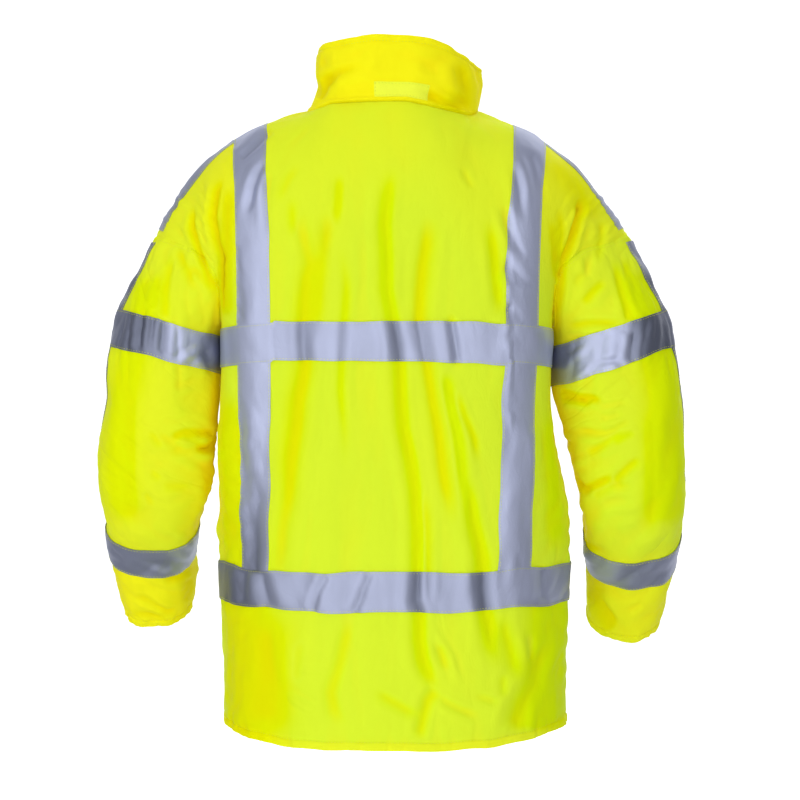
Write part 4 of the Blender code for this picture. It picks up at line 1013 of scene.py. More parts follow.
# how far the neck seam hangs below its curve, from the wearer's right to the left
neckDip = (
    (-0.112, -0.006), (-0.1, -0.01), (-0.084, -0.0085), (-0.052, -0.003), (-0.02, 0.0035),
    (0.05, 0.0035), (0.08, 0.003), (0.09, -0.001), (0.11, -0.004),
)


drifts = {
    "across": (51, 18, (0.2, 0.2, 0.16), 0.0016),
    "upright": (52, 18, (0.13, 0.2, 0.2), 0.0018),
    "fromZip": (0.012, 0.06),
    "belowNeck": (-0.02, -0.08),
    "dipReach": 0.028,
    "dipDepths": (-0.01, 0.03),
}


def sway(grid):
    # the cloth's slow drift along itself, which keeps seams and tapes from lying dead straight
    x, y, z = grid[..., 0], grid[..., 1], grid[..., 2]
    drift = np.zeros(grid.shape)
    drift[..., 0] = waves(grid, *drifts["across"])
    drift[..., 2] = waves(grid, *drifts["upright"])
    hold = ease(*drifts["fromZip"], np.abs(x)) * (1 - sidePress(grid))
    drift *= (hold * ease(*drifts["belowNeck"], z))[..., None]
    # the neck seam hangs lower towards the wearer's right
    dip = np.interp(x, *np.array(neckDip).T)
    drift[..., 2] += dip * np.exp(-((z / drifts["dipReach"]) ** 2)) * ease(*drifts["dipDepths"], y)
    return drift


def softened(field, cells, closed=False):
    # running mean over the grid, both ways
    for axis in (0, 1):
        wide = "wrap" if closed and axis else "edge"
        pads = [(cells, cells) if k == axis else (0, 0) for k in (0, 1)]
        padded = np.cumsum(np.pad(field, pads, mode=wide), axis=axis)
        padded = np.insert(padded, 0, 0.0, axis=axis)
        count = field.shape[axis]
        high = np.take(padded, np.arange(2 * cells + 1, 2 * cells + 1 + count), axis=axis)
        field = (high - np.take(padded, np.arange(count), axis=axis)) / (2 * cells + 1)
    return field


def sinkSeams(lift, edges):
    # draws the cloth in along the named edges of a panel
    for edge in edges:
        rows = lift if edge in ("top", "bottom") else lift.T
        for step, depth in enumerate(cloth["seamSink"]):
            rows[-1 - step if edge in ("top", "last") else step] -= depth
    return lift


print("cutting the panels")
heights, marks = bodyHeights()
quarters = {(s, f): quarterGrid(s, f, heights) for s in sides for f in faceSigns}
underarmRow = marks["underarm"]
stripRow = underarmRow + body["upperRows"][0]

panels = {
    "back": np.concatenate(
        [quarters["right", "back"][:, ::-1], quarters["left", "back"][:, 1:]], axis=1
    ),
    "front_left": quarters["left", "front"][:, ::-1],
    "front_right": quarters["right", "front"],
}
sleeveMarks, sleeveRun = {}, {}
for side in sides:
    backEdge = panels["back"][underarmRow:, -1 if side == "left" else 0]
    frontEdge = panels[f"front_{side}"][underarmRow:, 0 if side == "left" else -1]
    grid, sleeveMarks[side], sleeveRun[side] = sleeveGrid(side, backEdge, frontEdge)
    panels[f"sleeve_{side}"] = grid[:, ::-1] if side == "left" else grid

collarSeam = np.concatenate(
    [
        quarters["left", "front"][-1, : neckColumns + 1],
        quarters["left", "back"][-1, :neckColumns][::-1],
        quarters["right", "back"][-1, 1 : neckColumns + 1],
        quarters["right", "front"][-1, :neckColumns][::-1],
    ]
)
seamRun = runLengths(collarSeam)
collarAngles = np.interp(seamRun, seamRun[::neckColumns], (-90.0, 0.0, 90.0, 180.0, 270.0))
panels["collar"] = collarGrid(collarSeam, collarAngles)[:, ::-1]

print("creasing the cloth")
seams = findSeams(panels)
baseNormals = sharedNormals(panels, seams)
hollowSizes = ((4, 1, 0.0015), (12, 3, 0.0035))  # wide and narrow mean, in points, and full depth
seamEdges = {
    "back": ("first", "last", "top"),
    "front_left": ("first", "top"),
    "front_right": ("last", "top"),
}
hollows, shadeTints = {}, {}
rise = runLengths(panels["back"][:, edgeColumn])
for name, grid in panels.items():
    normals = baseNormals[name]
    if isTube(name):
        side = name.split("_")[1]
        fromTop = sleeveRun[side]
        lift, shadeTints[name] = creaseSleeve(grid, normals, side, fromTop[-1] - fromTop, fromTop)
        lift = sinkSeams(lift, ("bottom",))
    elif name == "collar":
        collarRise = runLengths(grid[:, grid.shape[1] // 2])
        lift, shadeTints[name] = creaseCollar(grid, normals, collarRise[:, None], collarRise[-1])
    else:
        lift, shadeTints[name] = creaseBody(grid, normals, rise)
        lift = sinkSeams(lift, seamEdges[name])
    hollows[name] = sum(
        (softened(lift, wide, isTube(name)) - softened(lift, narrow, isTube(name))) / full
        for wide, narrow, full in hollowSizes
    )
    panels[name] = grid + normals * lift[..., None] + sway(grid)
closeSeams(panels, seams)
facings = sharedNormals(panels, seams)


def allPanelsTree():
    verts, faces = [], []
    for name, grid in panels.items():
        faces += (gridFaces(*grid.shape[:2], isTube(name)) + len(verts)).tolist()
        verts += grid.reshape(-1, 3).tolist()
    return BVHTree.FromPolygons(verts, faces)


def enclosed(tree, grid, facing, step=4, rays=24, reach=0.2):
    # how much of the view outwards from each point is closed in by other cloth
    dice = np.random.default_rng(7)
    spin, out = dice.uniform(0, 2 * math.pi, rays), np.sqrt(dice.uniform(0, 1, rays))
    local = np.stack([out * np.cos(spin), out * np.sin(spin), np.sqrt(1 - out**2)], axis=1)
    rowsAt, columnsAt = (everyNth(count, step) for count in grid.shape[:2])
    coarse = np.zeros((len(rowsAt), len(columnsAt)))
    for i, r in enumerate(rowsAt):
        for j, c in enumerate(columnsAt):
            n = facing[r, c]
            a = np.cross(n, (0.0, 0.0, 1.0) if abs(n[2]) < 0.9 else (1.0, 0.0, 0.0))
            a /= np.linalg.norm(a)
            ways = local @ np.array([a, np.cross(n, a), n])
            start = tuple(grid[r, c] + n * cloth["wall"] / 2)
            hits = 0.0
            for way in ways.tolist():
                gone = tree.ray_cast(start, way, reach)[3]
                if gone is not None:
                    hits += 1 - gone / reach
            coarse[i, j] = hits / rays
    full = np.array([np.interp(np.arange(grid.shape[1]), columnsAt, row) for row in coarse])
    full = [np.interp(np.arange(grid.shape[0]), rowsAt, column) for column in full.T]
    return np.array(full).T


def zoned(grid, zones):
    # adds up amounts that each fade in between two places, along one axis or more
    x, z = grid[..., 0], grid[..., 2]
    along = {"x": x, "out": np.abs(x), "z": z, "rise": z - z[:1]}
    return sum(
        amount * math.prod(ease(start, full, along[axis]) for axis, start, full in fades)
        for amount, *fades in zones
    )


maskLook = {
    # painted shade in creases and closed-in places: the first entries weigh its parts and limit it
    "hollowShade": 0.16,
    "fold": 1.7,
    "foldFrom": 0.55,
    "closed": {"body": 1.2, "collar": 0.8, "sleeve_left": 0.8, "sleeve_right": 0.8},
    "crease": (-0.3, 2.0),
    # a base amount of painted warm light for each panel, how much of the folds' warm painted shade joins
    # it, then random waves
    "paintedWarmth": {"body": 0.0, "collar": 0.85, "sleeve_left": 0.30, "sleeve_right": 0.16},
    "warmFoldShade": 0.2,
    "warmWaves": (61, 14, (0.25, 0.25, 0.4), 0.06),
    # painted shade on the tapes: darker in their hollows, near the hem and towards the outside
    "shade": {"body": 0.75, "collar": 0.75, "sleeve_left": 0.60, "sleeve_right": 0.60},
    "shadeClosed": 0.45,
    "darkest": 0.9,
}
# painted shade on the tapes by place: lower down, towards the outer sides of the sleeves and the body, and
# near the middle of the jacket
sleeveOut = {
    "sleeve_left": ("out", 0.275, 0.3),
    "sleeve_right": ("out", 0.292, 0.312),
}
sleeveShade = {
    name: (
        (0.08, ("z", -0.5, -0.58)),
        (0.3, out),
        (0.28, ("z", -0.42, -0.36), out),
        (0.06, ("z", -0.5, -0.56)),
    )
    for name, out in sleeveOut.items()
}
bodyShade = (
    (0.1, ("z", -0.5, -0.58)),
    (0.16, ("x", 0.150, 0.185), ("z", -0.50, -0.58)),
    (0.15, ("out", 0.15, 0.135)),
    (0.36, ("out", 0.19, 0.24)),
)
# painted warm light and shade by place: a warmer yellow high on the jacket, low on the wearer's left side,
# at the cuffs, on the shoulders and along the hem's fold
allPaintedWarmth = ((0.22, ("z", -0.24, -0.03)), (0.12, ("x", 0.12, 0.20), ("z", -0.30, -0.65)))
sleevePaintedWarmth = ((0.45, ("z", -0.57, -0.62)),)
bodyPaintedWarmth = ((0.35, ("out", 0.15, 0.21), ("z", -0.27, -0.17)), (0.40, ("rise", 0.0115, 0.0085)))

panelTree = allPanelsTree()
creaseShades, paintedWarmths, shades = {}, {}, {}
for name, grid in panels.items():
    look = {key: value.get(name, value["body"]) if isinstance(value, dict) else value
            for key, value in maskLook.items()}
    # painted shade like ambient occlusion: darker where other cloth closes in a point
    closed = softened(enclosed(panelTree, grid, facings[name]), 2, isTube(name))
    shadeTint = shadeTints[name]
    # painted shade in hollows, in the deepest warm folds and in closed-in places
    folded = look["hollowShade"] * hollows[name] + look["fold"] * np.maximum(shadeTint - look["foldFrom"], 0.0)
    creaseShades[name] = np.clip(look["closed"] * closed + folded, *look["crease"])
    shade = np.maximum(folded + look["shadeClosed"] * closed, np.abs(shadeTint))
    shade = look["shade"] * shade + zoned(grid, sleeveShade.get(name, bodyShade))
    shades[name] = np.clip(shade, 0.0, look["darkest"])
    # painted warm light, with the folds' warm painted shade and random waves
    paintedWarmth = look["paintedWarmth"] + zoned(grid, allPaintedWarmth + (sleevePaintedWarmth if isTube(name) else bodyPaintedWarmth))
    paintedWarmth = paintedWarmth + look["warmFoldShade"] * np.clip(shadeTint, 0.0, 1.0)
    paintedWarmths[name] = np.clip(paintedWarmth + waves(grid, *look["warmWaves"]), 0, 1)


def newGroup(name, inputs, outputs):
    group = bpy.data.node_groups.new(name, "ShaderNodeTree")
    for label, kind, value in inputs:
        socket = group.interface.new_socket(label, in_out="INPUT", socket_type=kind)
        socket.default_value = value
    for label, kind in outputs:
        group.interface.new_socket(label, in_out="OUTPUT", socket_type=kind)
    nodes = group.nodes
    return group, nodes.new("NodeGroupInput"), nodes.new("NodeGroupOutput")


def feed(tree, socket, value):
    # a link where the value is another node's socket, and otherwise a number or a colour
    if isinstance(value, bpy.types.NodeSocket):
        tree.links.new(value, socket)
    else:
        socket.default_value = (*value, 1.0) if isinstance(value, tuple) else value


def addNode(tree, kind, settings=None, **values):
    node = tree.nodes.new(kind)
    for key, value in (settings or {}).items():
        setattr(node, key, value)
    for key, value in values.items():
        feed(tree, node.inputs[key.replace("_", " ")], value)
    return node


def maths(tree, operation, *values):
    node = addNode(tree, "ShaderNodeMath", {"operation": operation})
    for socket, value in zip(node.inputs, values):
        feed(tree, socket, value)
    return node.outputs[0]


def mixColours(tree, factor, first, second, blend="MIX"):
    node = addNode(tree, "ShaderNodeMix", {"data_type": "RGBA", "blend_type": blend})
    for index, value in ((0, factor), (6, first), (7, second)):
        feed(tree, node.inputs[index], value)
    return node.outputs[2]


def addNoise(tree, place, **values):
    return addNode(tree, "ShaderNodeTexNoise", Vector=place, **values).outputs[0]


def clothPlace(tree):
    return addNode(tree, "ShaderNodeUVMap", {"uv_map": "cloth"}).outputs[0]


def stretched(tree, place, across, along=None):
    # a place on the cloth with its first number, or both of them, multiplied
    split = addNode(tree, "ShaderNodeSeparateXYZ", Vector=place).outputs
    x = maths(tree, "MULTIPLY", split[0], across)
    y = split[1] if along is None else maths(tree, "MULTIPLY", split[1], along)
    return addNode(tree, "ShaderNodeCombineXYZ", X=x, Y=y).outputs[0]


def buildWeave():
    # plain weave: threads of a given width over and under each other, on the cloth's own UVs
    group, start, end = newGroup(
        "plainWeave",
        (("Threads per metre", "NodeSocketFloat", 900.0), ("Uneven", "NodeSocketFloat", 0.3)),
        (("Height", "NodeSocketFloat"), ("Grain", "NodeSocketFloat")),
    )
    scaled = addNode(group, "ShaderNodeVectorMath", {"operation": "SCALE"},
                     Vector=clothPlace(group), Scale=start.outputs["Threads per metre"]).outputs[0]
    split = addNode(group, "ShaderNodeSeparateXYZ", Vector=scaled).outputs
    across, along = (maths(group, "SINE", maths(group, "MULTIPLY", split[k], math.pi)) for k in (0, 1))
    over = maths(group, "MULTIPLY", across, along)
    noise = addNoise(group, scaled, Scale=0.35, Detail=2.0)
    uneven = maths(group, "MULTIPLY", noise, start.outputs["Uneven"])
    group.links.new(maths(group, "ADD", over, uneven), end.inputs["Height"])
    group.links.new(noise, end.inputs["Grain"])
    return group


def buildCrinkle():
    # small soft dents and creases, longer along the cloth than across it
    group, start, end = newGroup(
        "softCrinkle",
        (("Size", "NodeSocketFloat", 30.0), ("Stretch", "NodeSocketFloat", 2.5)),
        (("Height", "NodeSocketFloat"), ("Mottle", "NodeSocketFloat")),
    )
    place = clothPlace(group)
    long = stretched(group, place, start.outputs["Stretch"])
    dents = addNoise(
        group, long, Scale=start.outputs["Size"], Detail=3.0, Roughness=0.55, Distortion=0.6
    )
    group.links.new(dents, end.inputs["Height"])
    group.links.new(addNoise(group, place, Scale=9.0, Detail=2.0), end.inputs["Mottle"])
    return group


def buildLines():
    # thin creases that run mostly one way over the cloth, where it has been pulled
    group, start, end = newGroup(
        "dragLines",
        (
            ("Across", "NodeSocketFloat", 14.0),
            ("Along", "NodeSocketFloat", 2.5),
            ("Angle", "NodeSocketFloat", 0.0),
        ),
        (("Height", "NodeSocketFloat"),),
    )
    place = clothPlace(group)
    turned = addNode(group, "ShaderNodeVectorRotate", {"rotation_type": "Z_AXIS"},
                     Vector=place, Angle=start.outputs["Angle"]).outputs[0]
    long = stretched(group, turned, start.outputs["Across"], start.outputs["Along"])
    noise = addNoise(group, long, Scale=1.0, Detail=2.0, Roughness=0.45)
    off = maths(group, "ABSOLUTE", maths(group, "SUBTRACT", noise, 0.5))
    line = maths(group, "SMOOTH_MAX", maths(group, "MULTIPLY_ADD", off, -22.0, 1.0), 0.0, 0.35)
    patches = addNoise(group, place, Scale=6.0, Detail=1.0)
    shown = addNode(group, "ShaderNodeMapRange", {"interpolation_type": "SMOOTHSTEP"},
                    Value=patches, From_Min=0.42, From_Max=0.62).outputs[0]
    depth = maths(group, "MULTIPLY", line, shown)
    group.links.new(maths(group, "SUBTRACT", 1.0, depth), end.inputs["Height"])
    return group


weaveGroup = buildWeave()
crinkleGroup = buildCrinkle()
lineGroup = buildLines()


def newMaterial(name, look):
    material = bpy.data.materials.new(name)
    material.use_nodes = True
    tree = material.node_tree
    shader = tree.nodes["Principled BSDF"]
    for label, value in look.items():
        shader.inputs[label].default_value = value
    material.diffuse_color = look.get("Base Color", (0.5, 0.5, 0.5, 1.0))
    return material, tree, shader


def placeGroup(tree, group, **values):
    return addNode(tree, "ShaderNodeGroup", {"node_tree": group}, **values)


def readMask(tree, name):
    return addNode(tree, "ShaderNodeAttribute", {"attribute_name": name}).outputs["Fac"]


def addRough(tree, shader, grain, part, least):
    tree.links.new(maths(tree, "MULTIPLY_ADD", grain, part, least), shader.inputs["Roughness"])


def addBump(tree, shader, heights):
    # heights: each group's node and its depth in metres, one after another
    last = None
    for node, depth in heights:
        below = {"Normal": last} if last else {}
        bump = addNode(tree, "ShaderNodeBump", Height=node.outputs["Height"], Distance=depth, **below)
        bump.inputs["Strength"].default_value = 1.0
        last = bump.outputs[0]
    tree.links.new(last, shader.inputs["Normal"])


shellLook = {
    "lit": (0.645, 0.82, 0.026),
    # the next colours are painted light and shade: lemon yellow for painted warm light, orange and brown
    # for painted shade in creases and closed-in places, dark green and gold for painted shade in the folds
    "paintedLemon": (0.89, 0.835, 0.008),
    "hollowShade": (0.96, 0.64, 0.000),
    "hollowShadePart": 0.65,
    "core": (0.42, 0.23, 0.000),
    "coreShadePart": 1.3,
    "deep": (0.49, 0.72, 0.000),
    "deepShadePart": 0.3,
    "gold": (0.64, 0.6, 0.000),
    "goldShadePart": 0.6,
    "pale": (0.7, 0.885, 0.04),
    "mottle": 0.2,
    "foldShadeTone": (1.0, 1.0, 0.05),  # painted shade in the folds: takes the blue out of a fold's colour
    "foldShadeGain": 3.0,
    "rough": (0.16, 0.42),  # the grain's part, and the least
    "weaveDepth": 0.00005,
    "crinkleDepth": 0.001,
}


def buildShell(name, across, along, angle, lineDepth):
    # painted glow: a small constant emission that lifts the cloth's shade
    look = {"Roughness": 0.55, "Specular IOR Level": 0.015, "Emission Strength": 0.09}
    material, tree, shader = newMaterial(name, look)
    weave = placeGroup(tree, weaveGroup, Threads_per_metre=1300.0, Uneven=0.4)
    crinkle = placeGroup(tree, crinkleGroup, Size=26.0, Stretch=2.2)
    lines = placeGroup(tree, lineGroup, Across=across, Along=along, Angle=math.radians(angle))

    def part(operation, first, second, name=None):
        value = maths(tree, operation, first, second)
        return maths(tree, "MULTIPLY", value, shellLook[name]) if name else value

    fold = readMask(tree, "fold")
    depth = part("MAXIMUM", readMask(tree, "crease"), 0.0)
    core = part("MAXIMUM", part("SUBTRACT", depth, 1.0), 0.0, "coreShadePart")
    gold = part("MINIMUM", part("MAXIMUM", fold, 0.0, "goldShadePart"), 1.0)
    strong = part("MULTIPLY", maths(tree, "ABSOLUTE", fold), shellLook["foldShadeGain"])
    # painted light and shade: after a random pale mottle, the cloth's colour is mixed towards the painted
    # shade of creases, closed-in places and folds, and towards the painted warm light
    colour = shellLook["lit"]
    for factor, tone, blend in (
        (part("MULTIPLY", crinkle.outputs["Mottle"], shellLook["mottle"]), "pale", "MIX"),
        (readMask(tree, "paintedWarmth"), "paintedLemon", "MIX"),
        (part("MINIMUM", depth, 1.0, "hollowShadePart"), "hollowShade", "MIX"),
        (part("MINIMUM", strong, 1.0), "foldShadeTone", "MULTIPLY"),
        (gold, "gold", "MIX"),
        (part("MULTIPLY", part("MINIMUM", fold, 0.0), -shellLook["deepShadePart"]), "deep", "MIX"),
        (core, "core", "MIX"),
    ):
        colour = mixColours(tree, factor, colour, shellLook[tone], blend)
    tree.links.new(colour, shader.inputs["Base Color"])
    tree.links.new(colour, shader.inputs["Emission Color"])  # painted glow: the cloth glows a little in its own colour at a constant strength, lifting its shade in place of the dye's fluorescence
    addRough(tree, shader, weave.outputs["Grain"], *shellLook["rough"])
    heights = ((lines, lineDepth), (crinkle, shellLook["crinkleDepth"]), (weave, shellLook["weaveDepth"]))
    addBump(tree, shader, heights)
    return material


tapeLook = {
    "face": (0.6, 0.65, 0.89),
    "dull": (0.42, 0.455, 0.62),
    "shade": (0.105, 0.118, 0.165),
    "grain": 0.3,
    "rough": (0.14, 0.4),
    "beadDepth": 0.00004,
    "crinkleDepth": 0.0008,
}


def buildTapeMaterial():
    look = {"Metallic": 0.62, "Roughness": 0.46, "Specular IOR Level": 0.3}
    material, tree, shader = newMaterial("reflectiveTape", look)
    weave = placeGroup(tree, weaveGroup, Threads_per_metre=1500.0, Uneven=0.8)
    crinkle = placeGroup(tree, crinkleGroup, Size=34.0, Stretch=1.6)
    grain = maths(tree, "MULTIPLY", weave.outputs["Grain"], tapeLook["grain"])
    colour = mixColours(tree, crinkle.outputs["Mottle"], tapeLook["dull"], tapeLook["face"])
    colour = mixColours(tree, grain, colour, tapeLook["face"])
    # painted shade: the tape's colour darkens by its shade mask
    colour = mixColours(tree, readMask(tree, "shade"), colour, tapeLook["shade"])
    tree.links.new(colour, shader.inputs["Base Color"])
    addRough(tree, shader, weave.outputs["Grain"], *tapeLook["rough"])
    heights = ((crinkle, tapeLook["crinkleDepth"]), (weave, tapeLook["beadDepth"]))
    addBump(tree, shader, heights)
    return material


def buildPlain(name, look, threads, depth, darkPart=0.75):
    material, tree, shader = newMaterial(name, look)
    weave = placeGroup(tree, weaveGroup, Threads_per_metre=threads, Uneven=0.8)
    base = look["Base Color"][:3]
    dark = tuple(darkPart * part for part in base)
    tree.links.new(mixColours(tree, weave.outputs["Grain"], dark, base), shader.inputs["Base Color"])
    addBump(tree, shader, ((weave, depth),))
    return material


print("mixing the materials")
shellMaterial = buildShell("bodyShell", 13.0, 2.2, 4.0, 0.00015)
sleeveMaterials = {
    "sleeve_left": buildShell("sleeveShellLeft", 5.0, 24.0, -24.0, 0.0009),
    "sleeve_right": buildShell("sleeveShellRight", 5.0, 24.0, 24.0, 0.0009),
}
tapeMaterial = buildTapeMaterial()
# base colour and finish, threads a metre, depth and how dark the dark threads are
plainLooks = {
    "sewingThread": ({"Base Color": (0.88, 0.93, 0.03, 1.0), "Roughness": 0.6}, 4000.0, 0.00005),
    "loopPile": (
        {
            "Base Color": (0.87, 0.95, 0.06, 1.0),
            "Roughness": 0.9,
            "Specular IOR Level": 0.1,
            # painted glow: the loop patch glows a little to look brighter
            "Emission Color": (0.9, 0.95, 0.05, 1.0),
            "Emission Strength": 0.09,
        },
        1100.0, 0.00008, 0.92,
    ),
    "zipPlastic": ({"Base Color": (0.60, 0.76, 0.02, 1.0), "Roughness": 0.42}, 1200.0, 0.00004),
    "castMetal": (
        {"Base Color": (0.42, 0.42, 0.43, 1.0), "Metallic": 1.0, "Roughness": 0.32}, 700.0, 0.00002,
    ),
}
threadMaterial, loopMaterial, zipMaterial, metalMaterial = (
    buildPlain(name, *look) for name, look in plainLooks.items()
)


def clothUv(grid):
    # each point's place on the flat cloth, in metres
    down = np.linalg.norm(np.diff(grid, axis=0), axis=2).mean(axis=1)
    across = np.linalg.norm(np.diff(grid, axis=1), axis=2).mean(axis=0)
    v = np.concatenate([[0.0], np.cumsum(down)])
    u = np.concatenate([[0.0], np.cumsum(across)])
    return np.stack(np.broadcast_arrays(u[None, :], v[:, None]), axis=2).reshape(-1, 2)


sharpAngle = 60  # degrees between two faces above which their edge is sharp


def addPiece(name, verts, faces, material, slotName, bodyName="jacket", uv=None, masks=None):
    mesh = bpy.data.meshes.new(name)
    mesh.from_pydata(verts.tolist(), [], faces)
    mesh.update()
    mesh.materials.append(material)
    layer = mesh.uv_layers.new(name="cloth")
    uv = verts[:, (0, 2)] if uv is None else uv
    corners = np.empty(len(mesh.loops), np.int32)
    mesh.loops.foreach_get("vertex_index", corners)
    layer.data.foreach_set("uv", uv[corners].astype(np.float32).ravel())
    for label, mask in (masks or {}).items():
        values = mesh.attributes.new(label, "FLOAT", "POINT")
        values.data.foreach_set("value", mask.astype(np.float32).ravel())
    mesh.shade_smooth()
    mesh.set_sharp_from_angle(angle=math.radians(sharpAngle))
    piece = bpy.data.objects.new(name, mesh)
    bpy.context.scene.collection.objects.link(piece)
    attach(piece, bodyName)
    return piece


def wallFaces(rows, columns, closed, innerRows, innerColumns):
    count, wide, high = rows * columns, len(innerColumns), len(innerRows)
    faces = gridFaces(rows, columns, closed).tolist()
    faces += (gridFaces(high, wide, closed)[:, ::-1] + count).tolist()
    stops = list(innerColumns) + ([columns] if closed else [])
    for row, innerRow, order in ((0, 0, 1), (rows - 1, high - 1, -1)):
        for k in range(len(stops) - 1):
            outer = [row * columns + c % columns for c in range(stops[k], stops[k + 1] + 1)]
            inner = [count + innerRow * wide + (k + step) % wide for step in (1, 0)]
            faces.append((outer + inner)[::order])
    if closed:
        return faces
    for column, innerColumn, order in ((0, 0, -1), (columns - 1, wide - 1, 1)):
        for k in range(high - 1):
            outer = [r * columns + column for r in range(innerRows[k], innerRows[k + 1] + 1)]
            inner = [count + (k + step) * wide + innerColumn for step in (1, 0)]
            faces.append((outer + inner)[::order])
    return faces


def addWall(name, outer, inner, material, slotName, closed=False, masks=None, halved=False):
    # a halved wall has half as many points each way on its hidden side
    rows, columns = outer.shape[:2]
    innerRows = everyNth(rows) if halved else np.arange(rows)
    innerColumns = everyNth(columns, closed=closed) if halved else np.arange(columns)
    chosen = np.ix_(innerRows, innerColumns)
    verts = np.concatenate([outer.reshape(-1, 3), inner[chosen].reshape(-1, 3)])
    uv = clothUv(outer)
    uv = np.concatenate([uv, uv.reshape(rows, columns, 2)[chosen].reshape(-1, 2)])
    both = {
        label: np.concatenate([mask.ravel(), mask[chosen].ravel()])
        for label, mask in (masks or {}).items()
    }
    faces = wallFaces(rows, columns, closed, innerRows, innerColumns)
    return addPiece(name, verts, faces, material, slotName, uv=uv, masks=both)


tapeFace = {
    "puff": 0.0005,
    "round": 0.7,
    "waves": (71, 26, (0.07, 0.07, 0.09), 0.0005),
    "puckers": (72, 20, (0.16, 0.1, 0.045), 0.0004),
    "angle": 65.0,
}


def tapePuff(grid, axis):
    # the tape stands a little off the cloth between its two stitched edges
    run = np.linspace(0, 1, grid.shape[axis])
    profile = np.sin(np.pi * run) ** tapeFace["round"]
    profile = profile[:, None] if axis == 0 else profile[None, :]
    rough = waves(grid, *tapeFace["waves"])
    rough = rough + puckers(slanted(grid, tapeFace["angle"]), *tapeFace["puckers"])
    return profile * np.maximum(tapeFace["puff"] + rough, 0.0)


def trimPlaces(grid, start, end):
    # places along the first axis that leave a little off at its start and its end
    run = runLengths(grid.mean(axis=1))
    places = np.interp([start, run[-1] - end], run, np.arange(len(run)))
    inside = np.arange(int(places[0]) + 1, int(np.ceil(places[1])))
    return np.concatenate([places[:1], inside, places[1:]])


def sampledRows(field, places):
    low = np.minimum(places.astype(int), len(field) - 2)
    part = (places - low).reshape(-1, *[1] * (field.ndim - 1))
    return field[low] * (1 - part) + field[low + 1] * part


def trimmed(fields, trims):
    # trims: how far it stops short of its first row, last row, first column, last column
    for axis in (0, 1):
        start, end = trims[2 * axis : 2 * axis + 2]
        if start or end:
            turned = [np.moveaxis(field, axis, 0) for field in fields]
            places = trimPlaces(turned[0], start, end)
            fields = [np.moveaxis(sampledRows(field, places), 0, axis) for field in turned]
    return fields


thread = {
    "length": 0.003,
    "gap": 0.0012,
    "width": 0.0007,
    "height": 0.00045,
    "lift": 0.0001,
    "tapeInset": 0.0022,
    "armholeInset": 0.005,
    "collarInset": 0.009,
    "frontInset": 0.006,
    "patchInset": 0.002,
}
stitchRuns = {}


def sew(group, path, facing, closed=False):
    if closed:
        path, facing = (np.concatenate([part, part[:1]]) for part in (path, facing))
    stitchRuns.setdefault(group, []).append((path, facing))


def sewOn(group, name, axis, distance, closed=False):
    line = lineOn(panels[name], facings[name], axis, distance, thread["lift"])
    sew(group, *line, closed)


def lineOn(grid, facing, axis, distance, lift):
    # a line on a block of points at a distance from its first (or, if negative, last) edge
    if axis == 1:
        grid, facing = grid.transpose(1, 0, 2), facing.transpose(1, 0, 2)
    if distance < 0:
        grid, facing, distance = grid[::-1], facing[::-1], -distance
    path, normals = [], []
    run = np.cumsum(np.linalg.norm(np.diff(grid, axis=0), axis=2), axis=0)
    for c in range(grid.shape[1]):
        k = int(np.searchsorted(run[:, c], distance))
        before = run[k - 1, c] if k else 0.0
        part = (distance - before) / (run[k, c] - before)
        path.append(grid[k, c] * (1 - part) + grid[k + 1, c] * part)
        normals.append(facing[k, c] * (1 - part) + facing[k + 1, c] * part)
    normals = unit(np.array(normals))
    return np.array(path) + normals * lift, normals


def buildStitches(name, runs):
    # one stitch is a small closed lozenge with a ridge along it
    corners = np.array(
        [(1, 0, -0.2), (-1, 0, -0.2), (0, 1, 0.1), (0, -1, 0.1), (0.5, 0, 1), (-0.5, 0, 1)], float
    )
    sizes = np.array([thread["length"] / 2, thread["width"] / 2, thread["height"]])
    cell = [(0, 2, 4), (2, 5, 4), (2, 1, 5), (0, 4, 3), (4, 5, 3), (5, 1, 3), (0, 3, 2), (1, 2, 3)]
    verts, faces = [], []
    for path, facing in runs:
        run = runLengths(path)
        step = thread["length"] + thread["gap"]
        count = max(int(run[-1] / step), 1)
        places = (np.arange(count) + 0.5) * run[-1] / count
        middle = readPath(path, places)
        half = thread["length"] / 2
        along = unit(readPath(path, places + half) - readPath(path, places - half))
        up = readAlong(run, facing, places)
        up = unit(up - along * (up * along).sum(axis=1, keepdims=True))
        across = np.cross(up, along)
        for m, a, s, u in zip(middle, along, across, up):
            start = len(verts)
            verts += list(m + (corners * sizes) @ np.array([a, s, u]))
            faces += [[start + k for k in face] for face in cell]
    addPiece(name, np.array(verts), faces, threadMaterial, "shell_cloth")


print("building the panels")
pieceNames = {
    "back": "backPanel",
    "front_left": "frontPanelLeft",
    "front_right": "frontPanelRight",
    "sleeve_left": "sleeveLeft",
    "sleeve_right": "sleeveRight",
    "collar": "collarCloth",
}
panelPieces = {}


def masksOf(name, part=slice(None)):
    masks = {"crease": creaseShades, "paintedWarmth": paintedWarmths, "fold": shadeTints}
    return {label: mask[name][part] for label, mask in masks.items()}


for name, grid in panels.items():
    thick = cloth["wall"]
    if name == "collar":  # two padded layers, thin at the seam
        full = (0.0, cloth["collarFull"])
        thick = np.interp(collarRise, full, (cloth["wall"], cloth["collarWall"]))[:, None, None]
    material = sleeveMaterials.get(name, shellMaterial)
    panelPieces[name] = addWall(
        pieceNames[name], grid, grid - facings[name] * thick, material, "shell_cloth",
        isTube(name), masksOf(name), halved=True,
    )
    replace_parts(panelPieces[name], name)

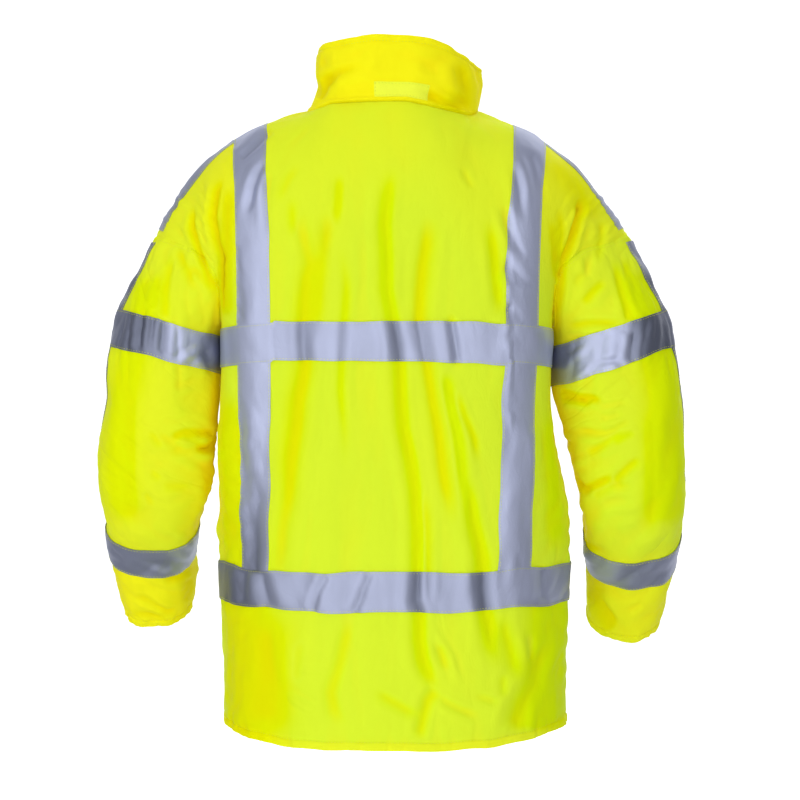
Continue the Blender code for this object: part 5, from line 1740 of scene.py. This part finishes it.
flatCuts = {
    "back": ((0.76, 0.93), 0.545),
    "front_left": ((0.40, 0.92), 0.262),
    "front_right": ((0.40, 0.92), 0.257),
    "sleeve_left": ((0.54, 0.56), 0.226),
    "sleeve_right": ((0.57, 0.57), 0.240),
    "collar": ((0.64, 0.095), 0.057),
}
for name, (flat, area) in flatCuts.items():
    surface = np.linalg.norm(
        np.cross(np.diff(panels[name], axis=0)[:, :-1], np.diff(panels[name], axis=1)[:-1]), axis=2
    ).sum()
    print(f"  {name}: cloth {surface:.3f} m2")


print("laying the tapes")


def layTape(name, blocks, lift, trims=(0, 0, 0, 0), closed=False, sewn=(0, 1)):
    # blocks: the parts of the panels that it lies on, as panel name, rows and columns
    def joined(fields):
        return np.concatenate([fields[panel][rows][:, columns] for panel, rows, columns in blocks])

    fields = [joined(field) for field in (panels, facings, shades)]
    grid, facing, shade = trimmed(fields, trims)
    if name.startswith("strap"):
        shade = shade * tape["strapShade"]
    low = grid + facing * lift
    top = low + facing * (tape["thick"] + tapePuff(grid, sewn[0])[..., None])
    words = name.split("_")
    pieceName = words[0] + "".join(word.title() for word in words[1:]) + "Tape"
    piece = addWall(pieceName, top, low, tapeMaterial, "reflective_tape", closed, {"shade": shade})
    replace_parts(piece, name)
    rows, columns = grid.shape[:2]
    wide, long = runLengths(grid[:, columns // 2])[-1], runLengths(grid[rows // 2])[-1]
    if closed:
        long += np.linalg.norm(grid[rows // 2, 0] - grid[rows // 2, -1])
    for axis in sewn:
        for inset in (thread["tapeInset"], -thread["tapeInset"]):
            line = lineOn(top, facing, axis, inset, thread["lift"])
            sew("tapeStitches", *line, closed and axis == 0)


def columnsOf(side, face, first, last):
    # the columns of a panel that lie from first to last outwards from the middle of the jacket
    out = np.arange(first, last + 1)
    if face == "back":
        return edgeColumn + out if side == "left" else (edgeColumn - out)[::-1]
    return edgeColumn - out if side == "left" else out[::-1]


tuck, lift, bandLift = tape["tuck"], tape["lift"], tape["bandLift"]
whole = slice(None)
bands = {
    "hem": (marks["bandLow"], marks["bandHigh"]),
    "chest": (marks["chestLow"], marks["chestHigh"]),
}
for name, (low, high) in bands.items():
    rows = slice(low, high + 1)
    for part, trims in (
        ("back", (0, 0, tuck, tuck)),
        ("front_left", (0, 0, tuck, 0)),
        ("front_right", (0, 0, 0, tuck)),
    ):
        layTape(f"band_{name}_{part}", [(part, rows, whole)], bandLift, trims, sewn=(0,))

between = slice(bands["hem"][1], bands["chest"][0] + 1)
for side in sides:
    frontName, sleeveName = f"front_{side}", f"sleeve_{side}"
    across = columnsOf(side, "back", *strapColumns)
    layTape(f"strap_back_{side}", [("back", between, across)], lift, sewn=(1,))
    across = np.sort(columnsOf(side, "front", *strapColumns))
    layTape(f"strap_front_{side}", [(frontName, between, across)], lift, sewn=(1,))
    for name, first, last, low, trims, sewn in (
        ("strap_shoulder", *strapColumns, bands["chest"][1], (0, 0, 0, 0), 1),
        ("shoulder_strip", strapColumns[1], edgeColumn, stripRow, (0, 0, tuck, tape["seamGap"]), 0),
    ):
        if side == "right":
            trims = (*trims[:2], trims[3], trims[2])
        blocks = [
            ("back", slice(low, None), columnsOf(side, "back", first, last)),
            (frontName, slice(-2, low - 1, -1), columnsOf(side, "front", first, last)),
        ]
        layTape(f"{name}_{side}", blocks, lift, trims, sewn=(sewn,))

    at = sleeveMarks[side]
    for name, first, last in (
        ("upper", at["tapeHigh"], at["tapeLow"]),
        ("lower", at["lowTapeHigh"], at["lowTapeLow"]),
    ):
        blocks = [(sleeveName, slice(first, last + 1), whole)]
        layTape(f"sleeve_band_{name}_{side}", blocks, bandLift, closed=True, sewn=(0,))
    start, width = body["upperRows"][0], 2 * body["upperRows"][1]
    if side == "left":
        start = panels[sleeveName].shape[1] - 1 - start - width
    columns = slice(start, start + width + 1)
    for name, first, last, trims in (
        ("upper", 0, at["tapeHigh"], (tape["seamGap"], 0, 0, 0)),
        ("lower", at["tapeLow"], at["lowTapeHigh"], (0, 0, 0, 0)),
    ):
        blocks = [(sleeveName, slice(first, last + 1), columns)]
        layTape(f"sleeve_strip_{name}_{side}", blocks, lift, trims, sewn=(1,))


print("sewing")
for name in ("back", "front_left", "front_right"):
    sewOn("hemStitches", name, 0, hemFinish["line"])
for side in sides:
    sewOn("hemStitches", f"sleeve_{side}", 0, -hemFinish["line"], True)
    sewOn("seamStitches", f"sleeve_{side}", 0, thread["armholeInset"], True)
sewOn("hemStitches", "collar", 0, -thread["collarInset"])
sewOn("seamStitches", "front_left", 1, -thread["frontInset"])
sewOn("seamStitches", "front_right", 1, thread["frontInset"])


# the welt and the loop patch on the collar
trim = {
    "lift": 0.0003,
    "weltHeight": 0.0022,
    "weltEdge": 0.04,  # keeps the welt's edges from closing
    "weltReach": 3 * body["neckDetail"],  # columns each way from the middle of the back
    "patchThick": 0.0012,
    "patchReach": body["neckDetail"],
}


def collarPart(firstRow, rows, reach):
    middle = 2 * neckColumns
    part = (slice(firstRow, firstRow + rows + 1), slice(middle - reach, middle + reach + 1))
    facing = facings["collar"][part]
    return part, panels["collar"][part] + facing * trim["lift"], facing


part, low, facing = collarPart(0, collar["rows"][0], trim["weltReach"])
bow = np.sqrt(np.clip(1 - np.linspace(-1, 1, len(low)) ** 2, trim["weltEdge"], 1))[:, None, None]
welt = addWall("collarWelt", low + facing * trim["weltHeight"] * bow, low, shellMaterial,
               "shell_cloth", masks=masksOf("collar", part))
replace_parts(welt, "collar_welt")

part, low, facing = collarPart(*collar["rows"][:2], trim["patchReach"])
patch = addWall("collarPatch", low + facing * trim["patchThick"], low, loopMaterial, "loop_patch")
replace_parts(patch, "collar_patch")
for axis in (0, 1):
    for inset in (thread["patchInset"], -thread["patchInset"]):
        sew("hemStitches", *lineOn(low, facing, axis, inset, trim["patchThick"] + thread["lift"]))

for name, runs in stitchRuns.items():
    buildStitches(name, runs)


zipper = {
    "ends": (0.012, 0.004),
    "front": 0.0016,  # how far the chain's middle lies under the edge of the cloth
    "tapeHalf": 0.012,
    "tapeThick": 0.001,
    "clearance": 0.0022,
    "pitch": 0.0026,
    "tooth": (0.0036, 0.0024, 0.0013),
    "toothOut": 0.0011,
    "toothDrop": 0.0018,
    "toothFree": 0.001,  # bare chain at each end
    "stem": 0.001,
    "steps": 200,
}

print("zip")
edges = [(fields["front_left"][:, -1], fields["collar"][1:, -1]) for fields in (panels, facings)]
line, lineFacing = (np.concatenate(pair) * [0, 1, 1] for pair in edges)
lineFacing = unit(lineFacing)
run = runLengths(line)
walls = (cloth["wall"], cloth["collarWall"])
depths = np.concatenate([np.full(len(edge), wall) for edge, wall in zip(edges[0], walls)])


def onZip(distance):
    normal = unit(readAlong(run, lineFacing, distance))
    return readPath(line, distance), normal, np.interp(distance, run, depths) + zipper["clearance"]


def joined(parts):
    # one list of points and faces from several
    verts, faces = [], []
    for partVerts, partFaces in parts:
        faces += [[len(verts) + k for k in face] for face in partFaces]
        verts += list(partVerts)
    return np.array(verts), faces


def buildZip():
    distances = np.linspace(zipper["ends"][0], run[-1] - zipper["ends"][1], zipper["steps"])
    profile = []
    stem, half = zipper["stem"], zipper["tapeHalf"]
    for p, n, d in zip(*onZip(distances)):
        ring = [(stem, zipper["front"]), (stem, d), (half, d), (half, d + zipper["tapeThick"])]
        ring += [(-x, drop) for x, drop in ring[::-1]]
        profile += [p + [x, 0, 0] - n * drop for x, drop in ring]
    count = len(ring)
    faces = gridFaces(len(distances), count, True)[:, ::-1].tolist()
    faces += [list(range(count))[::-1], list(range(len(profile) - count, len(profile)))]
    parts = [(profile, faces)]
    # teeth, in turn from the left and from the right
    x, y, z = (size / 2 for size in zipper["tooth"])
    box = np.array([(i * x, j * y, k * z) for i in (-1, 1) for j in (-1, 1) for k in (-1, 1)])
    walls = [(0, 1, 3, 2), (4, 6, 7, 5), (0, 4, 5, 1), (2, 3, 7, 6), (0, 2, 6, 4), (1, 5, 7, 3)]
    first, last = distances[0] + zipper["toothFree"], distances[-1] - zipper["toothFree"]
    places = first + np.arange(int((last - first) / zipper["pitch"] * 2) + 1) * zipper["pitch"] / 2
    point, normal, _ = onZip(places)
    for k, (p, n, a) in enumerate(zip(point, normal, unit(np.gradient(point, axis=0)))):
        out = zipper["toothOut"] if k % 2 else -zipper["toothOut"]
        middle = p + [out, 0, 0] - n * zipper["toothDrop"]
        parts.append((middle + box @ np.array([[1.0, 0, 0], n, a]), walls))
    return addPiece("zipChain", *joined(parts), zipMaterial, "zip_plastic")


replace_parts(buildZip(), "zip")


def roundedPlate(outline, thick, bevel, place):
    # a flat plate across x and z, given by its outline, with rounded edges
    mesh = bmesh.new()
    face = mesh.faces.new([mesh.verts.new((x, -thick / 2, z)) for x, z in outline])
    out = bmesh.ops.extrude_face_region(mesh, geom=[face])
    moved = [v for v in out["geom"] if isinstance(v, bmesh.types.BMVert)]
    bmesh.ops.translate(mesh, verts=moved, vec=(0, thick, 0))
    bmesh.ops.recalc_face_normals(mesh, faces=mesh.faces)
    bmesh.ops.bevel(mesh, geom=list(mesh.edges), offset=bevel, segments=2, affect="EDGES")
    bmesh.ops.translate(mesh, verts=mesh.verts, vec=place)
    verts = np.array([v.co for v in mesh.verts])
    faces = [[v.index for v in f.verts] for f in mesh.faces]
    mesh.free()
    # bmesh lists the faces in a different order each run
    faces = [face[face.index(min(face)) :] + face[: face.index(min(face))] for face in faces]
    return verts, sorted(faces)


def tube(radius, hole, length, place, count):
    verts, faces = [], []
    for x in (-length / 2, length / 2):
        for r in (radius, hole):
            turns = 2 * math.pi * np.arange(count) / count
            verts += [np.array([x, r * math.cos(t), r * math.sin(t)]) + place for t in turns]
    for k in range(count):
        n = (k + 1) % count
        faces.append([k, n, 2 * count + n, 2 * count + k])
        faces.append([count + n, count + k, 3 * count + k, 3 * count + n])
        faces.append([n, k, count + k, count + n])
        faces.append([2 * count + k, 2 * count + n, 3 * count + n, 3 * count + k])
    return np.array(verts), faces


def arc(centreX, centreZ, radius, start, end, count=8):
    turns = np.radians(np.linspace(start, end, count))
    return [(centreX + radius * math.cos(t), centreZ + radius * math.sin(t)) for t in turns]


# plates of the slider and the pull: outline around the pin, thickness and rounding
metal = {
    "pinDrop": 0.0021,  # below the top of the pull
    "slider": 0.0036,  # from its front face back to the first plate's place
    "shield": (0.0011, 0.0003),
    "shieldPlaces": (0.0006, 0.003),
    "post": ((-0.0012, 0.001), (0.0012, 0.001), (0.0012, 0.0052), (-0.0012, 0.0052)),
    "postSize": (0.0028, 0.0002),
    "postPlace": 0.0018,
    "lug": (0.0013, 1.4, -1.25),  # radius, then how much taller and deeper it is
    "lugSize": (0.0012, 0.0002),
    "lugPlace": (0.0032, 0.001),
    "axle": (0.0008, 0.0001, 0.0064),
    "eye": (0.0021, 0.0012, 0.0046),
    "neck": ((-0.002, -0.0098), (0.002, -0.0098), (0.0016, -0.0018), (-0.0016, -0.0018)),
    "neckSize": (0.0014, 0.0003),
    "blade": (
        (-0.0022, -0.0085),
        (-0.0038, -0.0115),
        *arc(0.0, -0.029, 0.004, 180, 360, 13),
        (0.0038, -0.0115),
        (0.0022, -0.0085),
    ),
    "bladeSize": (0.0018, 0.0004),
    "grip": ((-0.0024, -0.015), (0.0024, -0.015), (0.0026, -0.0285), (-0.0026, -0.0285)),
    "gripSize": (0.0024, 0.0003),
}

low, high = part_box("zip_pull")
pin = np.array([0.0, (low[1] + high[1]) / 2, high[2] - metal["pinDrop"]])
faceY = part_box("zip_slider")[1][1] - metal["slider"]
shield = arc(-0.0022, -0.0038, 0.0024, 200, 270) + arc(0.0022, -0.0038, 0.0024, 270, 340)
shield += [(0.0049, 0.003)] + arc(0.003, 0.005, 0.0018, 10, 90)
shield += arc(-0.003, 0.005, 0.0018, 90, 170) + [(-0.0049, 0.003)]
parts = [
    roundedPlate(shield, *metal["shield"], (0.0, faceY + deep, pin[2]))
    for deep in metal["shieldPlaces"]
]
parts.append(roundedPlate(metal["post"], *metal["postSize"], (0.0, faceY + metal["postPlace"], pin[2])))
radius, taller, deeper = metal["lug"]
lug = [(x, z * taller) for x, z in arc(0.0, 0.0, radius, 0, 360, 17)[:-1]]
lugVerts, lugFaces = roundedPlate(lug, *metal["lugSize"], (0, 0, 0))
for out in sides.values():
    place = [out * metal["lugPlace"][0], pin[1] + metal["lugPlace"][1], pin[2]]
    parts.append((lugVerts[:, (1, 0, 2)] * [1, deeper, 1] + place, lugFaces))
parts.append(tube(*metal["axle"], pin, 20))
slider = addPiece("zipSlider", *joined(parts), metalMaterial, "slider_metal", "jacket")
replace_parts(slider, "zip_slider")

parts = [tube(*metal["eye"], pin, 28)]
for name in ("neck", "blade", "grip"):
    parts.append(roundedPlate(metal[name], *metal[f"{name}Size"], tuple(pin)))
pull = addPiece("zipPull", *joined(parts), metalMaterial, "slider_metal", "pull")
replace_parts(pull, "zip_pull")

print("studio")
studio = {
    "floor": -1.25,
    "wide": 11.0,
    "bend": 4.0,
    "pale": (0.9, 0.9, 0.9, 1.0),
    "glow": 0.8,  # the backdrop is lit evenly from within
    "even": 0.52,  # the soft light from all round
    "low": 0.1,  # what the shiny tapes mirror at the sides, and straight behind or ahead
    "high": 1.35,
    "bright": (0.17, 0.98, 0.02),
    "brightness": (0.34, 0.9),  # where the low and the high begin, from the side to straight on
    "start": ((0.01, -1.25), (2.0, -1.25)),
    "top": 12.0,
    "turns": 64,
}


def buildStudio():
    # a pale floor that turns up into a wall all round, far from the jacket
    floor, wide, bend, count = (studio[key] for key in ("floor", "wide", "bend", "turns"))
    line = list(studio["start"])
    for t in np.radians(np.linspace(0, 90, 16)):
        line.append((wide - bend + bend * math.sin(t), floor + bend - bend * math.cos(t)))
    line.append((wide, studio["top"]))
    spin = np.arange(count) * 2 * math.pi / count
    verts = [(r * math.cos(t), r * math.sin(t), z) for r, z in line for t in spin]
    faces = [list(range(count))] + gridFaces(len(line), count, True)[:, ::-1].tolist()
    mesh = bpy.data.meshes.new("studioFloor")
    mesh.from_pydata(verts, [], faces)
    mesh.shade_smooth()
    look = {
        "Base Color": studio["pale"],
        "Roughness": 0.9,
        "Emission Color": (1.0, 1.0, 1.0, 1.0),
        "Emission Strength": studio["glow"],
    }
    mesh.materials.append(newMaterial("paleFloor", look)[0])
    item = bpy.data.objects.new("studioFloor", mesh)
    item.visible_diffuse = item.visible_glossy = item.visible_shadow = False
    bpy.context.scene.collection.objects.link(item)


def addLight(name, place, target, size, power):
    light = bpy.data.lights.new(name, "AREA")
    light.shape = "RECTANGLE"
    light.size, light.size_y = size
    light.energy = power
    item = bpy.data.objects.new(name, light)
    item.location = place
    aim = np.array(target, float) - np.array(place, float)
    pitch = math.atan2(aim[2], math.hypot(aim[0], aim[1]))
    turn = math.atan2(aim[1], aim[0])
    item.rotation_euler = (math.pi / 2 + pitch, 0.0, turn - math.pi / 2)
    item.visible_glossy = False
    bpy.context.scene.collection.objects.link(item)


buildStudio()
lights = {  # place, target, size, power
    "keyLight": ((2.2, 2.9, 1.0), (0, 0, -0.4), (1.6, 1.6), 33.0),
    "fillLight": ((-1.2, 3.8, 0.1), (0, 0, -0.4), (2.0, 2.0), 21.5),
    "frontLight": ((-1.6, -3.0, 1.4), (0, 0, -0.35), (1.6, 1.6), 62.0),
    "topLight": ((0.0, 0.4, 3.0), (0, 0, -0.3), (2.0, 1.6), 18.0),
    "lowLight": ((0.6, 2.4, -2.6), (0, 0, -0.6), (2.0, 1.6), 28.0),
}
for name, spec in lights.items():
    addLight(name, *spec)


def buildWorld():
    # an even light; the shiny tapes mirror a bright room behind and ahead, and dark sides
    world = bpy.data.worlds.new("studioWorld")
    world.use_nodes = True
    tree = world.node_tree
    along = addNode(tree, "ShaderNodeVectorMath", {"operation": "DOT_PRODUCT"},
                    Vector=addNode(tree, "ShaderNodeTexCoord").outputs["Generated"])
    along.inputs[1].default_value = studio["bright"]
    low, high = studio["brightness"]
    ramp = addNode(tree, "ShaderNodeMapRange", Value=maths(tree, "ABSOLUTE", along.outputs["Value"]),
                   From_Min=low, From_Max=high, To_Min=studio["low"], To_Max=studio["high"])
    glossy = addNode(tree, "ShaderNodeLightPath").outputs["Is Glossy Ray"]
    more = maths(tree, "SUBTRACT", ramp.outputs[0], studio["even"])
    mirrored = maths(tree, "MULTIPLY", glossy, more)
    back = tree.nodes["Background"]
    back.inputs[0].default_value = (1.0, 1.0, 1.0, 1.0)
    tree.links.new(maths(tree, "ADD", mirrored, studio["even"]), back.inputs[1])
    bpy.context.scene.world = world


buildWorld()
bpy.context.scene.view_settings.view_transform = "Standard"

view = {"sensor": 36.0, "lens": 105.66, "place": (-0.01, 3.1, -0.38)}
camera = bpy.data.cameras.new("camera")
camera.sensor_width, camera.lens = view["sensor"], view["lens"]
cameraItem = bpy.data.objects.new("camera", camera)
cameraItem.location = view["place"]
cameraItem.rotation_euler = (math.pi / 2, 0.0, math.pi)
bpy.context.scene.collection.objects.link(cameraItem)
bpy.context.scene.camera = cameraItem
